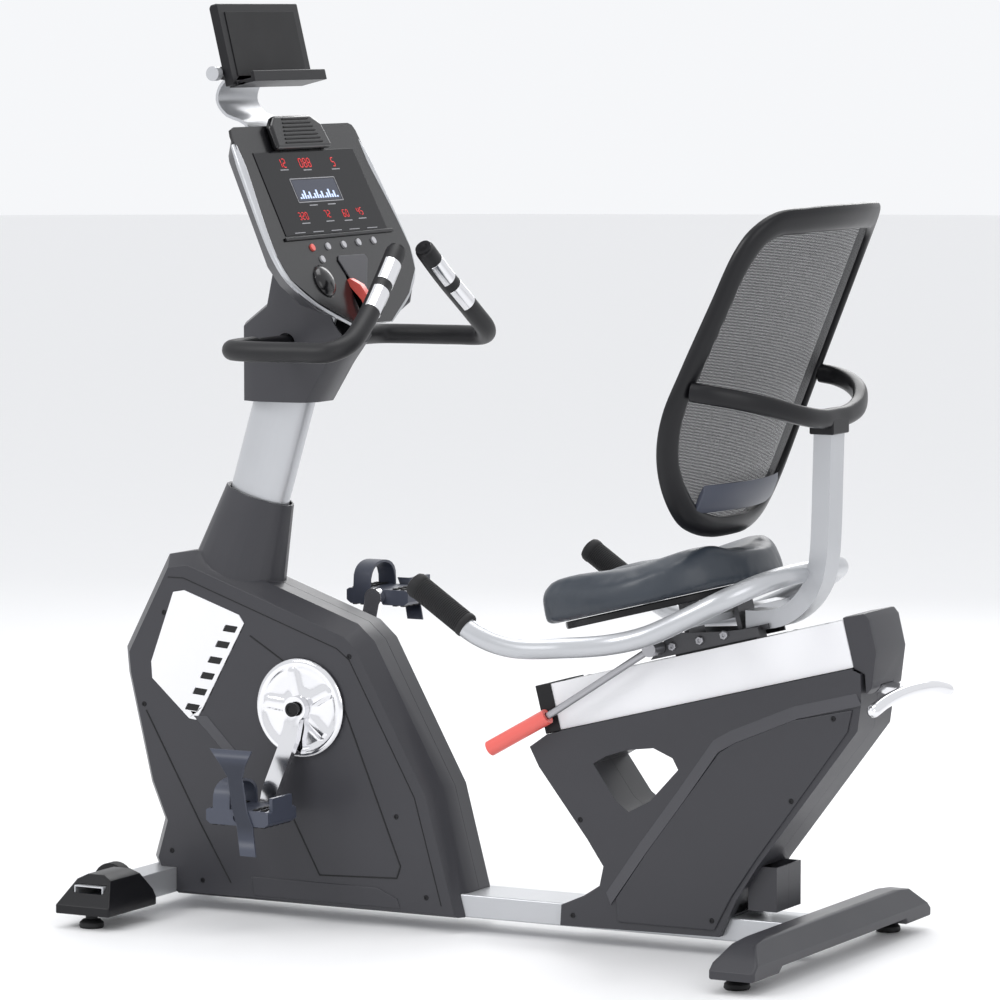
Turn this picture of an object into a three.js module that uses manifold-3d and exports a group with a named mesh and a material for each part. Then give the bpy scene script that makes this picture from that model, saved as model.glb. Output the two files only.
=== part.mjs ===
// Recumbent exercise bike.
// Millimetres, +Z up. The rider faces -X, so the rider's left side is -Y.
// While it is modelled, X = 0 is the line of the rear feet and Z = 0 is the floor; the last
// lines move the whole bike so that the centre of its footprint is the origin.

import * as THREE from 'three';
import { mergeVertices } from 'three/addons/utils/BufferGeometryUtils.js';
import Module from 'manifold-3d';

const wasm = await Module();
wasm.setup();

// ---------------------------------------------------------------- driving dimensions

const GAP = 0.3;                    // clearance between pieces that touch
const RUN = 1.0;                    // clearance round a piece that turns

const FOOT_HEIGHT = 24;
const FOOT_RADIUS = 21;
const FOOT_SPREAD = 290;            // from the middle plane to each foot
const WHEELBASE = 1179;             // from the front feet to the rear feet
const FRONT_X = -WHEELBASE;         // the front assembly is placed from here

const BEAM_WIDTH = 100;
const BEAM_HEIGHT = 38;
const BEAM_WALL = 3;
const BEAM_BOTTOM = 26;
const BEAM_TOP = BEAM_BOTTOM + BEAM_HEIGHT;

const FRONT_TUBE_WIDTH = 56;
const FRONT_TUBE_HEIGHT = 42;
const FRONT_TUBE_BOTTOM = 28;
const CAP_LENGTH = 150;
const CAP_WIDTH = 104;
const CAP_HEIGHT = 62;
const CAP_END = FOOT_SPREAD + 30;                // outer end of each front cap

const REAR_BAR_HALF_LENGTH = FOOT_SPREAD + 55;
const REAR_BAR_FOOT_WIDTH = 78;
const REAR_BAR_TOP_WIDTH = 34;
const REAR_BAR_BOTTOM = 22;
const REAR_BAR_TOP = 78;
const REAR_BAR_X = 15;               // its middle, behind the line of the feet

const WHEEL_RADIUS = 33;
const WHEEL_WIDTH = 24;

const CRANK_X = FRONT_X + 276;
const CRANK_Z = 356;
const CRANK_RADIUS = 170;
const CRANK_LEAN = 0.205;           // radians that the left arm leans to the front
const AXLE_RADIUS = 10;
const DISC_RADIUS = 82;

const PULLEY_RADIUS = 118;
const PULLEY_Y = 36;
const PULLEY_WIDTH = 14;
const FLYWHEEL_X = FRONT_X + 379;
const FLYWHEEL_Z = 222;
const FLYWHEEL_RADIUS = 112;
const FLYWHEEL_WIDTH = 28;
const SMALL_PULLEY_RADIUS = 26;
const BELT_THICKNESS = 3;
const BELT_WIDTH = 12;

const PEDAL_LENGTH = 118;
const PEDAL_WIDTH = 92;
const PEDAL_THICKNESS = 26;
const PEDAL_INNER = 128;            // from the middle plane to the pedal's inner side
const SPINDLE_RADIUS = 7;

const SHROUD_HALF = 68;
const SHROUD_WALL = 3;
const SHROUD_SHOULDER = 22;         // how far the shroud's rim stands out of its side face
const SHROUD_SHOULDER_DEPTH = 30;

const NECK_LEAN = Math.atan(0.3);
const NECK_X = FRONT_X + 207;                // neck axis at NECK_Z
const NECK_Z = 859;
const NECK_FOOT_Z = 560;
const NECK_HALF_LENGTH = 54;        // half of the oval's long side
const NECK_HALF_WIDTH = 36;
const NECK_WALL = 3;
const COLLAR_HEIGHT = 128;

const BAR_RADIUS = 16;              // console handlebar
const BAR_X = FRONT_X + 243;
const BAR_Z = 958;
const BAR_HALF_SPAN = 261;

const CONSOLE_TOP_X = FRONT_X + 222;         // face of the console, top edge
const CONSOLE_TOP_Z = 1316;
const CONSOLE_LOW_X = FRONT_X + 379;         // face of the console, bottom edge
const CONSOLE_LOW_Z = 993;
const CONSOLE_HALF_TOP = 204;
const CONSOLE_HALF_WIDEST = 222;
const CONSOLE_TAPER = 30;           // how much narrower the housing's back is, all round
const CONSOLE_HALF_LOW = 58;
const CONSOLE_THICKNESS = 40;
const FACE_THICKNESS = 5;

const TRAY_WIDTH = 262;
const TRAY_HEIGHT = 136;
const TRAY_THICKNESS = 16;
const TRAY_LEAN = 0.24;
const TRAY_X = FRONT_X + 189;                // bottom of the tray's back
const TRAY_Z = 1384;

const COVER_HALF = 64;              // rear cover, half width
const COVER_WALL = 3;

const RAIL_ANGLE = Math.atan(0.2545);
const RAIL_Z = 535;                 // height of the rail cover's top where X = 0
const RAIL_FRONT = -474;            // along the slope
const RAIL_REAR = 74;
const RAIL_HALF = 28;
const RAIL_HEIGHT = 40;
const RAIL_DROP = 14;               // from the cover's top to the rail's top
const RAIL_COVER_HALF = 58;
const RAIL_COVER_HEIGHT = 76;
const RAIL_COVER_WALL = 3;
const SLOT_HALF = 22;               // slot that the carriage's neck runs in

const CARRIAGE_FRONT = -276;
const CARRIAGE_REAR = -78;
const CARRIAGE_HALF = 50;
const LEVER_ALONG = -256;           // the lever's pivot on the carriage
const LEVER_ABOVE = 20;
const LEVER_PIN_RADIUS = 5;
const PAN_HEIGHT = 80;              // above the rail cover's top
const PAN_THICKNESS = 12;
const CUSHION_THICKNESS = 56;
const CUSHION_FRONT = -424;
const CUSHION_REAR = -54;
const CUSHION_HALF = 190;
const CUSHION_NOSE_HALF = 118;

const HANDLE_RADIUS = 16.5;
const HANDLE_SPREAD = 305;          // seat grips, from the middle plane
const GRIP_RADIUS = 20;
const GRIP_LENGTH = 112;

const POST_WIDTH = 52;
const POST_THICKNESS = 30;

const BACK_LEAN = 0.4;              // horizontal run for each unit of height
const BACK_X = -105;                // edge of the backrest where Z is BACK_Z
const BACK_Z = 972;
const BACK_SWEEP = 66;              // how far the sides come forward of the middle
const BACK_HALF_WAIST = 256;
const BACK_BOTTOM = 672;
const BACK_TOP = 1204;
const BACK_THICKNESS = 24;
const MESH_THICKNESS = 3;

const KEY_SIZE = 13;
const KEY_TRAVEL = 1.2;

// ---------------------------------------------------------------- colours

const COLOURS = {
  charcoal: [0x44444a, 0.55, 0.0],
  black: [0x202124, 0.6, 0.0],
  white: [0xf0f0f2, 0.35, 0.0],
  silver: [0xbcbcc0, 0.38, 0.7],
  steel: [0x8c8c90, 0.45, 0.8],
  chrome: [0xd8d8dc, 0.12, 1.0],
  rubber: [0x17181a, 0.85, 0.0],
  coral: [0xec6e66, 0.45, 0.0],
  cushion: [0x3a3f47, 0.5, 0.0],
  mesh: [0x55575c, 0.9, 0.0],
  slate: [0x4c505c, 0.6, 0.0],
};

function material(name) {
  const [color, roughness, metalness] = COLOURS[name];
  return new THREE.MeshStandardMaterial({ color, roughness, metalness });
}

// ---------------------------------------------------------------- solids

function solidFrom(geometry) {
  const bare = geometry.clone();
  bare.deleteAttribute('normal');
  bare.deleteAttribute('uv');
  const merged = mergeVertices(bare);
  const corners = merged.index.array;
  const kept = [];
  for (let i = 0; i < corners.length; i += 3) {
    const [a, b, c] = [corners[i], corners[i + 1], corners[i + 2]];
    if (a !== b && b !== c && c !== a) kept.push(a, b, c);
  }
  return new wasm.Manifold(new wasm.Mesh({
    numProp: 3,
    vertProperties: new Float32Array(merged.attributes.position.array),
    triVerts: new Uint32Array(kept),
  }));
}

function geometryFrom(solid) {
  const mesh = solid.getMesh();
  const geometry = new THREE.BufferGeometry();
  geometry.setAttribute('position', new THREE.BufferAttribute(mesh.vertProperties, 3));
  geometry.setIndex(new THREE.BufferAttribute(mesh.triVerts, 1));
  geometry.computeVertexNormals();
  return geometry;
}

function join(first, ...others) {
  return others.reduce((whole, piece) => whole.add(piece), first);
}

function cut(first, ...tools) {
  return tools.reduce((whole, tool) => whole.subtract(tool), first);
}

function box(x0, x1, y0, y1, z0, z1) {
  const geometry = new THREE.BoxGeometry(x1 - x0, y1 - y0, z1 - z0);
  geometry.translate((x0 + x1) / 2, (y0 + y1) / 2, (z0 + z1) / 2);
  return solidFrom(geometry);
}

function outline(points) {
  return new THREE.Shape(points.map(([x, y]) => new THREE.Vector2(x, y)));
}

// An outline in X and Z, extruded from y0 to y1. With a rim it grows by rim.size between the
// side faces, over rim.depth; inset shrinks the whole outline.
function sidePlate(points, y0, y1, rim = null, inset = 0) {
  const depth = rim ? rim.depth : 0;
  const bevelled = Boolean(rim) || inset !== 0;
  const geometry = new THREE.ExtrudeGeometry(outline(points), {
    depth: y1 - y0 - 2 * depth,
    bevelEnabled: bevelled,
    bevelThickness: depth,
    bevelSize: rim ? rim.size : 0,
    bevelOffset: -inset,
    bevelSegments: rim?.steps ?? 1,
  });
  geometry.rotateX(Math.PI / 2);
  geometry.translate(0, y1 - depth, 0);
  return solidFrom(geometry);
}

// An outline in X and Y, extruded from z0 to z1.
function floorPlate(points, z0, z1) {
  const geometry = new THREE.ExtrudeGeometry(outline(points), { depth: z1 - z0, bevelEnabled: false });
  geometry.translate(0, 0, z0);
  return solidFrom(geometry);
}

// An outline in Y and Z, extruded from x0 to x1.
function crossPlate(points, x0, x1) {
  const geometry = new THREE.ExtrudeGeometry(outline(points), { depth: x1 - x0, bevelEnabled: false });
  geometry.rotateX(Math.PI / 2);
  geometry.rotateZ(Math.PI / 2);
  geometry.translate(x0, 0, 0);
  return solidFrom(geometry);
}

function rodY(x, z, radius, y0, y1, sides = 24) {
  const geometry = new THREE.CylinderGeometry(radius, radius, y1 - y0, sides);
  geometry.translate(x, (y0 + y1) / 2, z);
  return solidFrom(geometry);
}

function rodBetween(from, to, radius, sides = 16) {
  const start = new THREE.Vector3(...from);
  const end = new THREE.Vector3(...to);
  const geometry = new THREE.CylinderGeometry(radius, radius, start.distanceTo(end), sides);
  const turn = new THREE.Quaternion().setFromUnitVectors(
    new THREE.Vector3(0, 1, 0),
    end.clone().sub(start).normalize(),
  );
  geometry.applyQuaternion(turn);
  const middle = start.clone().lerp(end, 0.5);
  geometry.translate(middle.x, middle.y, middle.z);
  return solidFrom(geometry);
}

function circle(radius, sides) {
  const points = [];
  for (let i = 0; i < sides; i += 1) {
    const angle = (2 * Math.PI * i) / sides;
    points.push([radius * Math.cos(angle), radius * Math.sin(angle)]);
  }
  return points;
}

function bentRod(points, radius, steps, sides = 14) {
  const path = new THREE.CatmullRomCurve3(
    points.map((p) => new THREE.Vector3(...p)), false, 'centripetal');
  const geometry = new THREE.ExtrudeGeometry(outline(circle(radius, sides)), {
    steps, bevelEnabled: false, extrudePath: path,
  });
  return solidFrom(geometry);
}

// A turned piece: profile of [radius, height] pairs, round a vertical axis at (x, y).
function turned(profile, x, y, sides = 24) {
  const points = profile.map(([radius, height]) => new THREE.Vector2(radius, height));
  const geometry = new THREE.LatheGeometry(points, sides);
  geometry.rotateX(Math.PI / 2);
  geometry.translate(x, y, 0);
  return solidFrom(geometry);
}

function mirrored(points) {
  const other = points.slice(0, -1).reverse().map(([x, y, z]) => [x, -y, z]);
  return [...points, ...other];
}

const everything = new THREE.Group();

function add(name, solid, colour, parent = everything) {
  const mesh = new THREE.Mesh(geometryFrom(solid), material(colour));
  mesh.name = name;
  parent.add(mesh);
  return mesh;
}

const SIDES = [['left', -1], ['right', 1]];

// A point that is given from the line of the front feet.
function fromFront([x, ...rest]) {
  return [FRONT_X + x, ...rest];
}

// The half of a solid on one side of the middle plane.
function half(solid, side) {
  const far = 2000;
  const keep = side < 0
    ? box(-far, far, -far, -GAP / 2, -far, far)
    : box(-far, far, GAP / 2, far, -far, far);
  return solid.intersect(keep);
}

// ---------------------------------------------------------------- floor frame

const STABILISER_X = FRONT_X + 4;

function frontStabiliser() {
  const x0 = STABILISER_X - FRONT_TUBE_WIDTH / 2;
  const x1 = STABILISER_X + FRONT_TUBE_WIDTH / 2;
  const reach = CAP_END - 20;
  const tube = box(x0, x1, -reach, reach, FRONT_TUBE_BOTTOM, FRONT_TUBE_BOTTOM + FRONT_TUBE_HEIGHT);
  const bore = box(x0 + 3, x1 - 3, -reach - 1, reach + 1,
    FRONT_TUBE_BOTTOM + 3, FRONT_TUBE_BOTTOM + FRONT_TUBE_HEIGHT - 3);
  let solid = cut(tube, bore);
  for (const [, side] of SIDES) {
    for (const face of [WHEEL_FACE_INNER, WHEEL_FACE_OUTER]) {
      const y0 = Math.min(side * face, side * (face + WHEEL_LUG));
      solid = join(solid, sidePlate([
        [x0 + 1, FRONT_TUBE_BOTTOM + 6],
        [x0 + 1, FRONT_TUBE_BOTTOM + FRONT_TUBE_HEIGHT - 4],
        [WHEEL_X - 10, WHEEL_Z + 9],
        [WHEEL_X - 10, WHEEL_Z - 9],
      ], y0, y0 + WHEEL_LUG));
    }
    const inner = side * WHEEL_FACE_INNER;
    const outer = side * (WHEEL_FACE_OUTER + WHEEL_LUG);
    solid = join(solid, rodY(WHEEL_X, WHEEL_Z, 5, Math.min(inner, outer), Math.max(inner, outer), 16));
  }
  return solid;
}

const WHEEL_LUG = 5;
const WHEEL_FACE_INNER = 96;
const WHEEL_FACE_OUTER = WHEEL_FACE_INNER + WHEEL_LUG + WHEEL_WIDTH + 2 * RUN;
const WHEEL_X = STABILISER_X - FRONT_TUBE_WIDTH / 2 - WHEEL_RADIUS - 6;
const WHEEL_Z = WHEEL_RADIUS + 12;

function transportWheel(side) {
  const near = WHEEL_FACE_INNER + WHEEL_LUG + RUN;
  const y0 = Math.min(side * near, side * (near + WHEEL_WIDTH));
  const tyre = rodY(WHEEL_X, WHEEL_Z, WHEEL_RADIUS, y0, y0 + WHEEL_WIDTH, 32);
  return cut(tyre, rodY(WHEEL_X, WHEEL_Z, 5 + RUN / 2, y0 - 1, y0 + WHEEL_WIDTH + 1, 16));
}

// A cap with sloping sides, over the end of the front tube.
function frontCap(side) {
  const x0 = STABILISER_X - CAP_WIDTH / 2;
  const x1 = STABILISER_X + CAP_WIDTH / 2;
  const inner = CAP_END - CAP_LENGTH;
  const slope = 20;
  const low = FOOT_HEIGHT;
  const profile = [
    [x0, low], [x0, low + 14], [x0 + slope, low + CAP_HEIGHT - 8], [x0 + slope + 16, low + CAP_HEIGHT],
    [x1 - slope - 16, low + CAP_HEIGHT], [x1 - slope, low + CAP_HEIGHT - 8], [x1, low + 14], [x1, low],
  ];
  const y0 = Math.min(side * inner, side * CAP_END);
  const body = sidePlate(profile, y0, y0 + CAP_LENGTH);
  const endSlope = crossPlate([
    [side * inner, low - 1],
    [side * CAP_END, low - 1],
    [side * CAP_END, low + 14],
    [side * (CAP_END - 44), low + CAP_HEIGHT + 1],
    [side * (inner + 24), low + CAP_HEIGHT + 1],
    [side * inner, low + 26],
  ], x0 - 1, x1 + 1);
  const tubeEnd = CAP_END - 20 + GAP;
  const pocketEnds = [side * (inner - 1), side * tubeEnd];
  const pocket = box(
    STABILISER_X - FRONT_TUBE_WIDTH / 2 - GAP, STABILISER_X + FRONT_TUBE_WIDTH / 2 + GAP,
    Math.min(...pocketEnds), Math.max(...pocketEnds),
    FRONT_TUBE_BOTTOM - GAP, FRONT_TUBE_BOTTOM + FRONT_TUBE_HEIGHT + GAP);
  return cut(body.intersect(endSlope), pocket);
}

function rearStabiliser() {
  const foot = REAR_BAR_FOOT_WIDTH / 2;
  const top = REAR_BAR_TOP_WIDTH / 2;
  const length = REAR_BAR_HALF_LENGTH;
  const section = sidePlate([
    [-foot, REAR_BAR_BOTTOM], [foot, REAR_BAR_BOTTOM], [foot, REAR_BAR_BOTTOM + 24],
    [top, REAR_BAR_TOP], [-top, REAR_BAR_TOP], [-foot, REAR_BAR_BOTTOM + 24],
  ], -length, length);
  const side = crossPlate([
    [-length, REAR_BAR_BOTTOM], [-length, REAR_BAR_BOTTOM + 14], [-length + 46, REAR_BAR_TOP - 6],
    [-length + 120, REAR_BAR_TOP + 2], [length - 120, REAR_BAR_TOP + 2],
    [length - 46, REAR_BAR_TOP - 6], [length, REAR_BAR_BOTTOM + 14], [length, REAR_BAR_BOTTOM],
    [length - 96, REAR_BAR_BOTTOM], [length - 110, REAR_BAR_BOTTOM + 10],
    [-length + 110, REAR_BAR_BOTTOM + 10], [-length + 96, REAR_BAR_BOTTOM],
  ], -foot - 1, foot + 1);
  const socket = box(-foot - 1, -foot + 26, -BEAM_WIDTH / 2 - GAP, BEAM_WIDTH / 2 + GAP,
    BEAM_BOTTOM - GAP, BEAM_TOP + GAP);
  return cut(section.intersect(side), socket).translate([REAR_BAR_X, 0, 0]);
}

function baseBeam() {
  const x0 = STABILISER_X + FRONT_TUBE_WIDTH / 2 + GAP;
  const x1 = REAR_BAR_X - REAR_BAR_FOOT_WIDTH / 2 + 26 - GAP;
  const w = BEAM_WIDTH / 2;
  const outer = box(x0, x1, -w, w, BEAM_BOTTOM, BEAM_TOP);
  const bore = box(x0 - 1, x1 + 1, -w + BEAM_WALL, w - BEAM_WALL,
    BEAM_BOTTOM + BEAM_WALL, BEAM_TOP - BEAM_WALL);
  return cut(outer, bore);
}

function foot(x, y, under) {
  return turned([
    [0, 0], [FOOT_RADIUS - 2, 0], [FOOT_RADIUS, 3], [FOOT_RADIUS - 1, 9], [FOOT_RADIUS - 6, 14],
    [10, 15], [10, under - GAP], [0, under - GAP],
  ], x, y, 18);
}

add('base_beam', baseBeam(), 'silver');
add('front_stabiliser', frontStabiliser(), 'silver');
add('rear_stabiliser', rearStabiliser(), 'charcoal');
for (const [name, side] of SIDES) {
  add(`${name}_front_cap`, frontCap(side), 'black');
  add(`${name}_front_foot`, foot(STABILISER_X, side * FOOT_SPREAD, FOOT_HEIGHT), 'rubber');
  add(`${name}_rear_foot`, foot(0, side * FOOT_SPREAD, REAR_BAR_BOTTOM), 'rubber');
  add(`${name}_transport_wheel`, transportWheel(side), 'rubber');
}

// ---------------------------------------------------------------- drive frame and neck

function neckX(z) {
  return NECK_X + Math.tan(NECK_LEAN) * (z - NECK_Z);
}

// An oval column along the neck's axis, from height z0 to z1.
function neckColumn(z0, z1, halfLength, halfWidth, sides = 28) {
  const length = (z1 - z0) / Math.cos(NECK_LEAN);
  const geometry = new THREE.CylinderGeometry(1, 1, length, sides);
  geometry.rotateX(Math.PI / 2);
  geometry.scale(halfLength, halfWidth, 1);
  geometry.rotateY(NECK_LEAN);
  geometry.translate(neckX((z0 + z1) / 2), 0, (z0 + z1) / 2);
  return solidFrom(geometry);
}

const CONSOLE_LEAN = Math.atan2(CONSOLE_LOW_X - CONSOLE_TOP_X, CONSOLE_TOP_Z - CONSOLE_LOW_Z);
const CONSOLE_HEIGHT = Math.hypot(CONSOLE_LOW_X - CONSOLE_TOP_X, CONSOLE_TOP_Z - CONSOLE_LOW_Z);

// A point of the console, from its face: up the face from its bottom edge, and out of it.
function consolePoint(up, out) {
  const along = [-Math.sin(CONSOLE_LEAN), Math.cos(CONSOLE_LEAN)];
  const normal = [Math.cos(CONSOLE_LEAN), Math.sin(CONSOLE_LEAN)];
  return [
    CONSOLE_LOW_X + along[0] * up + normal[0] * out,
    CONSOLE_LOW_Z + along[1] * up + normal[1] * out,
  ];
}

// Everything in front of the console's face, or of a plane that lies out of it.
function aheadOfConsole(out) {
  return sidePlate([
    consolePoint(-400, out), consolePoint(700, out), consolePoint(700, 600), consolePoint(-400, 600),
  ], -600, 600);
}

function neckTube() {
  const tube = neckColumn(NECK_FOOT_Z, 1180, NECK_HALF_LENGTH, NECK_HALF_WIDTH);
  const bore = neckColumn(NECK_FOOT_Z + 10, 1200,
    NECK_HALF_LENGTH - NECK_WALL, NECK_HALF_WIDTH - NECK_WALL);
  const barHole = rodY(BAR_X, BAR_Z, BAR_RADIUS + GAP, -200, 200);
  return cut(tube, bore, barHole, aheadOfConsole(-CONSOLE_THICKNESS - GAP));
}

// The post from the floor beam to the neck, with the crank's shell and the flywheel's fork.
function driveFrame() {
  const foot0 = neckX(NECK_FOOT_Z) - 40;
  const floor = BEAM_TOP + GAP;
  const headZ = NECK_FOOT_Z - 46;
  const tubeWall = 4;
  const post = cut(sidePlate([
    [foot0 - 16, floor], [foot0 + 52, floor],
    [neckX(headZ) + 34, headZ], [neckX(headZ) - 34, headZ],
  ], -26, 26), sidePlate([
    [foot0 - 16 + tubeWall, floor - 1], [foot0 + 52 - tubeWall, floor - 1],
    [neckX(headZ) + 34 - tubeWall, headZ - 20], [neckX(headZ) - 34 + tubeWall, headZ - 20],
  ], -26 + tubeWall, 26 - tubeWall));
  const head = neckColumn(headZ - 6, NECK_FOOT_Z - GAP, NECK_HALF_LENGTH, NECK_HALF_WIDTH);
  const shell = rodY(CRANK_X, CRANK_Z, AXLE_RADIUS + 12, -22, 22, 32);
  const arm = sidePlate([
    [foot0 - 10, CRANK_Z + 4], [foot0 - 10, CRANK_Z - 40], [CRANK_X, CRANK_Z - 18],
    [CRANK_X, CRANK_Z + 18],
  ], -18, 18);
  const plate = floorPlate([
    [foot0 + 40, -30], [FLYWHEEL_X + 40, -30], [FLYWHEEL_X + 40, 30], [foot0 + 40, 30],
  ], floor, floor + 6);
  let frame = join(post, head, shell, arm, plate);
  for (const y0 of [-FORK_OUTER, FORK_INNER]) {
    frame = join(frame, sidePlate([
      [FLYWHEEL_X - 30, floor], [FLYWHEEL_X + 30, floor],
      [FLYWHEEL_X + 14, FLYWHEEL_Z + 14], [FLYWHEEL_X - 14, FLYWHEEL_Z + 14],
    ], y0, y0 + FORK_PLATE));
  }
  return cut(frame,
    rodY(CRANK_X, CRANK_Z, AXLE_RADIUS + RUN / 2, -60, 60),
    rodY(FLYWHEEL_X, FLYWHEEL_Z, 8 + RUN / 2, -80, 80, 20));
}

const FORK_PLATE = 6;
const FORK_INNER = FLYWHEEL_WIDTH / 2 + 2;
const FORK_OUTER = FORK_INNER + FORK_PLATE;

function flywheel() {
  const w = FLYWHEEL_WIDTH / 2;
  const rim = cut(
    rodY(FLYWHEEL_X, FLYWHEEL_Z, FLYWHEEL_RADIUS, -w, w, 32),
    rodY(FLYWHEEL_X, FLYWHEEL_Z, FLYWHEEL_RADIUS - 24, -w - 1, w + 1, 32));
  const web = rodY(FLYWHEEL_X, FLYWHEEL_Z, FLYWHEEL_RADIUS - 20, -5, 5, 32);
  const shaft = rodY(FLYWHEEL_X, FLYWHEEL_Z, 8, -FORK_OUTER - 8, PULLEY_Y + PULLEY_WIDTH / 2, 20);
  const hub = rodY(FLYWHEEL_X, FLYWHEEL_Z, 20, -w, w, 24);
  const small = rodY(FLYWHEEL_X, FLYWHEEL_Z, SMALL_PULLEY_RADIUS,
    PULLEY_Y - PULLEY_WIDTH / 2, PULLEY_Y + PULLEY_WIDTH / 2, 28);
  return join(rim, web, hub, shaft, small);
}

// The outline of a belt round both pulleys, at a distance from their rims.
function beltOutline(offset) {
  const dx = FLYWHEEL_X - CRANK_X;
  const dz = FLYWHEEL_Z - CRANK_Z;
  const span = Math.hypot(dx, dz);
  const axis = Math.atan2(dz, dx);
  const big = PULLEY_RADIUS + offset;
  const small = SMALL_PULLEY_RADIUS + offset;
  const open = Math.acos((big - small) / span);
  const points = [];
  const steps = 22;
  for (let i = 0; i <= steps; i += 1) {
    const angle = axis + open + ((2 * Math.PI - 2 * open) * i) / steps;
    points.push([CRANK_X + big * Math.cos(angle), CRANK_Z + big * Math.sin(angle)]);
  }
  const few = 8;
  for (let i = 0; i <= few; i += 1) {
    const angle = axis - open + (2 * open * i) / few;
    points.push([FLYWHEEL_X + small * Math.cos(angle), FLYWHEEL_Z + small * Math.sin(angle)]);
  }
  return points;
}

function belt() {
  const y0 = PULLEY_Y - BELT_WIDTH / 2;
  const slack = 1.5;
  return cut(
    sidePlate(beltOutline(slack + BELT_THICKNESS), y0, y0 + BELT_WIDTH),
    sidePlate(beltOutline(slack), y0 - 1, y0 + BELT_WIDTH + 1));
}

add('drive_frame', driveFrame(), 'steel');
add('neck_tube', neckTube(), 'silver');
add('flywheel', flywheel(), 'steel');
add('drive_belt', belt(), 'rubber');

// ---------------------------------------------------------------- cranks and pedals

const DISC_INNER = SHROUD_HALF + 2.5;
const DISC_OUTER = DISC_INNER + 7;
const ARM_INNER = DISC_OUTER + GAP;
const ARM_THICKNESS = 15;

function pedalCentre(side) {
  return [
    CRANK_X + side * CRANK_RADIUS * Math.sin(CRANK_LEAN),
    CRANK_Z + side * CRANK_RADIUS * Math.cos(CRANK_LEAN),
  ];
}

function axleEnd() {
  return ARM_INNER + ARM_THICKNESS + 3;
}

function crankAxle() {
  const end = axleEnd();
  return rodY(CRANK_X, CRANK_Z, AXLE_RADIUS, -end, end);
}

function drivePulley() {
  const y0 = PULLEY_Y - PULLEY_WIDTH / 2;
  const disc = rodY(CRANK_X, CRANK_Z, PULLEY_RADIUS, y0, y0 + PULLEY_WIDTH, 40);
  let solid = cut(disc, rodY(CRANK_X, CRANK_Z, AXLE_RADIUS + GAP, y0 - 1, y0 + PULLEY_WIDTH + 1));
  const holes = 5;
  for (let i = 0; i < holes; i += 1) {
    const angle = (2 * Math.PI * i) / holes;
    const reach = PULLEY_RADIUS * 0.58;
    solid = cut(solid, rodY(CRANK_X + reach * Math.cos(angle), CRANK_Z + reach * Math.sin(angle),
      24, y0 - 1, y0 + PULLEY_WIDTH + 1, 14));
  }
  return solid;
}

function coverDisc(side) {
  const y0 = Math.min(side * DISC_INNER, side * DISC_OUTER);
  const y1 = y0 + DISC_OUTER - DISC_INNER;
  const disc = rodY(CRANK_X, CRANK_Z, DISC_RADIUS, y0, y1, 40);
  return cut(disc, rodY(CRANK_X, CRANK_Z, AXLE_RADIUS + GAP, y0 - 1, y1 + 1));
}

// The arm bends outward between its boss on the axle and its eye at the pedal.
function crankArm(side) {
  const [px, pz] = pedalCentre(side);
  const eyeInner = PEDAL_INNER - RUN - ARM_THICKNESS;
  const across = (a, b) => [Math.min(side * a, side * b), Math.max(side * a, side * b)];
  const boss = rodY(CRANK_X, CRANK_Z, 21, ...across(ARM_INNER, ARM_INNER + ARM_THICKNESS));
  const eye = rodY(px, pz, 16, ...across(eyeInner, eyeInner + ARM_THICKNESS));
  const direction = [(px - CRANK_X) / CRANK_RADIUS, (pz - CRANK_Z) / CRANK_RADIUS];
  const web = [];
  const bend = [[0, ARM_INNER], [CRANK_RADIUS * 0.3, ARM_INNER], [CRANK_RADIUS * 0.8, eyeInner],
    [CRANK_RADIUS, eyeInner]];
  for (const [reach, inner] of bend) web.push([reach, side * inner]);
  for (const [reach, inner] of [...bend].reverse()) web.push([reach, side * (inner + ARM_THICKNESS)]);
  const halfWidth = 14;
  const shape = outline(web);
  const geometry = new THREE.ExtrudeGeometry(shape, { depth: 2 * halfWidth, bevelEnabled: false });
  geometry.translate(0, 0, -halfWidth);
  geometry.rotateY(-Math.atan2(direction[1], direction[0]));
  geometry.translate(CRANK_X, 0, CRANK_Z);
  const arm = solidFrom(geometry);
  const spindle = rodY(px, pz, SPINDLE_RADIUS, ...across(eyeInner + 4, PEDAL_INNER + PEDAL_WIDTH - 8), 20);
  const axleHole = rodY(CRANK_X, CRANK_Z, AXLE_RADIUS + GAP, -200, 200);
  return join(cut(join(boss, arm, eye), axleHole), spindle);
}

// A platform with a toe band over it and a heel stop at its rear end.
function pedal(side) {
  const [px, pz] = pedalCentre(side);
  const y0 = Math.min(side * PEDAL_INNER, side * (PEDAL_INNER + PEDAL_WIDTH));
  const y1 = y0 + PEDAL_WIDTH;
  const l = PEDAL_LENGTH / 2;
  const t = PEDAL_THICKNESS / 2;
  const platform = sidePlate([
    [px - l, pz - t + 6], [px - l + 8, pz - t], [px + l - 8, pz - t], [px + l, pz - t + 6],
    [px + l, pz + t - 3], [px + l - 5, pz + t], [px - l + 5, pz + t], [px - l, pz + t - 3],
  ], y0, y1);
  const bandHeight = 58;
  const band = cut(
    crossPlate(arch(y0, y1, pz, bandHeight), px - 46, px - 14),
    crossPlate(arch(y0 + 4, y1 - 4, pz - 10, bandHeight + 6), px - 47, px - 13));
  const heel = box(px + l - 6, px + l, y0 + 14, y1 - 14, pz, pz + 34);
  const solid = join(platform, band.subtract(box(px - 60, px, y0 - 5, y1 + 5, pz - 60, pz)), heel);
  return cut(solid, rodY(px, pz, SPINDLE_RADIUS + RUN / 2, y0 - 1, y1 + 1, 20));
}

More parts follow.
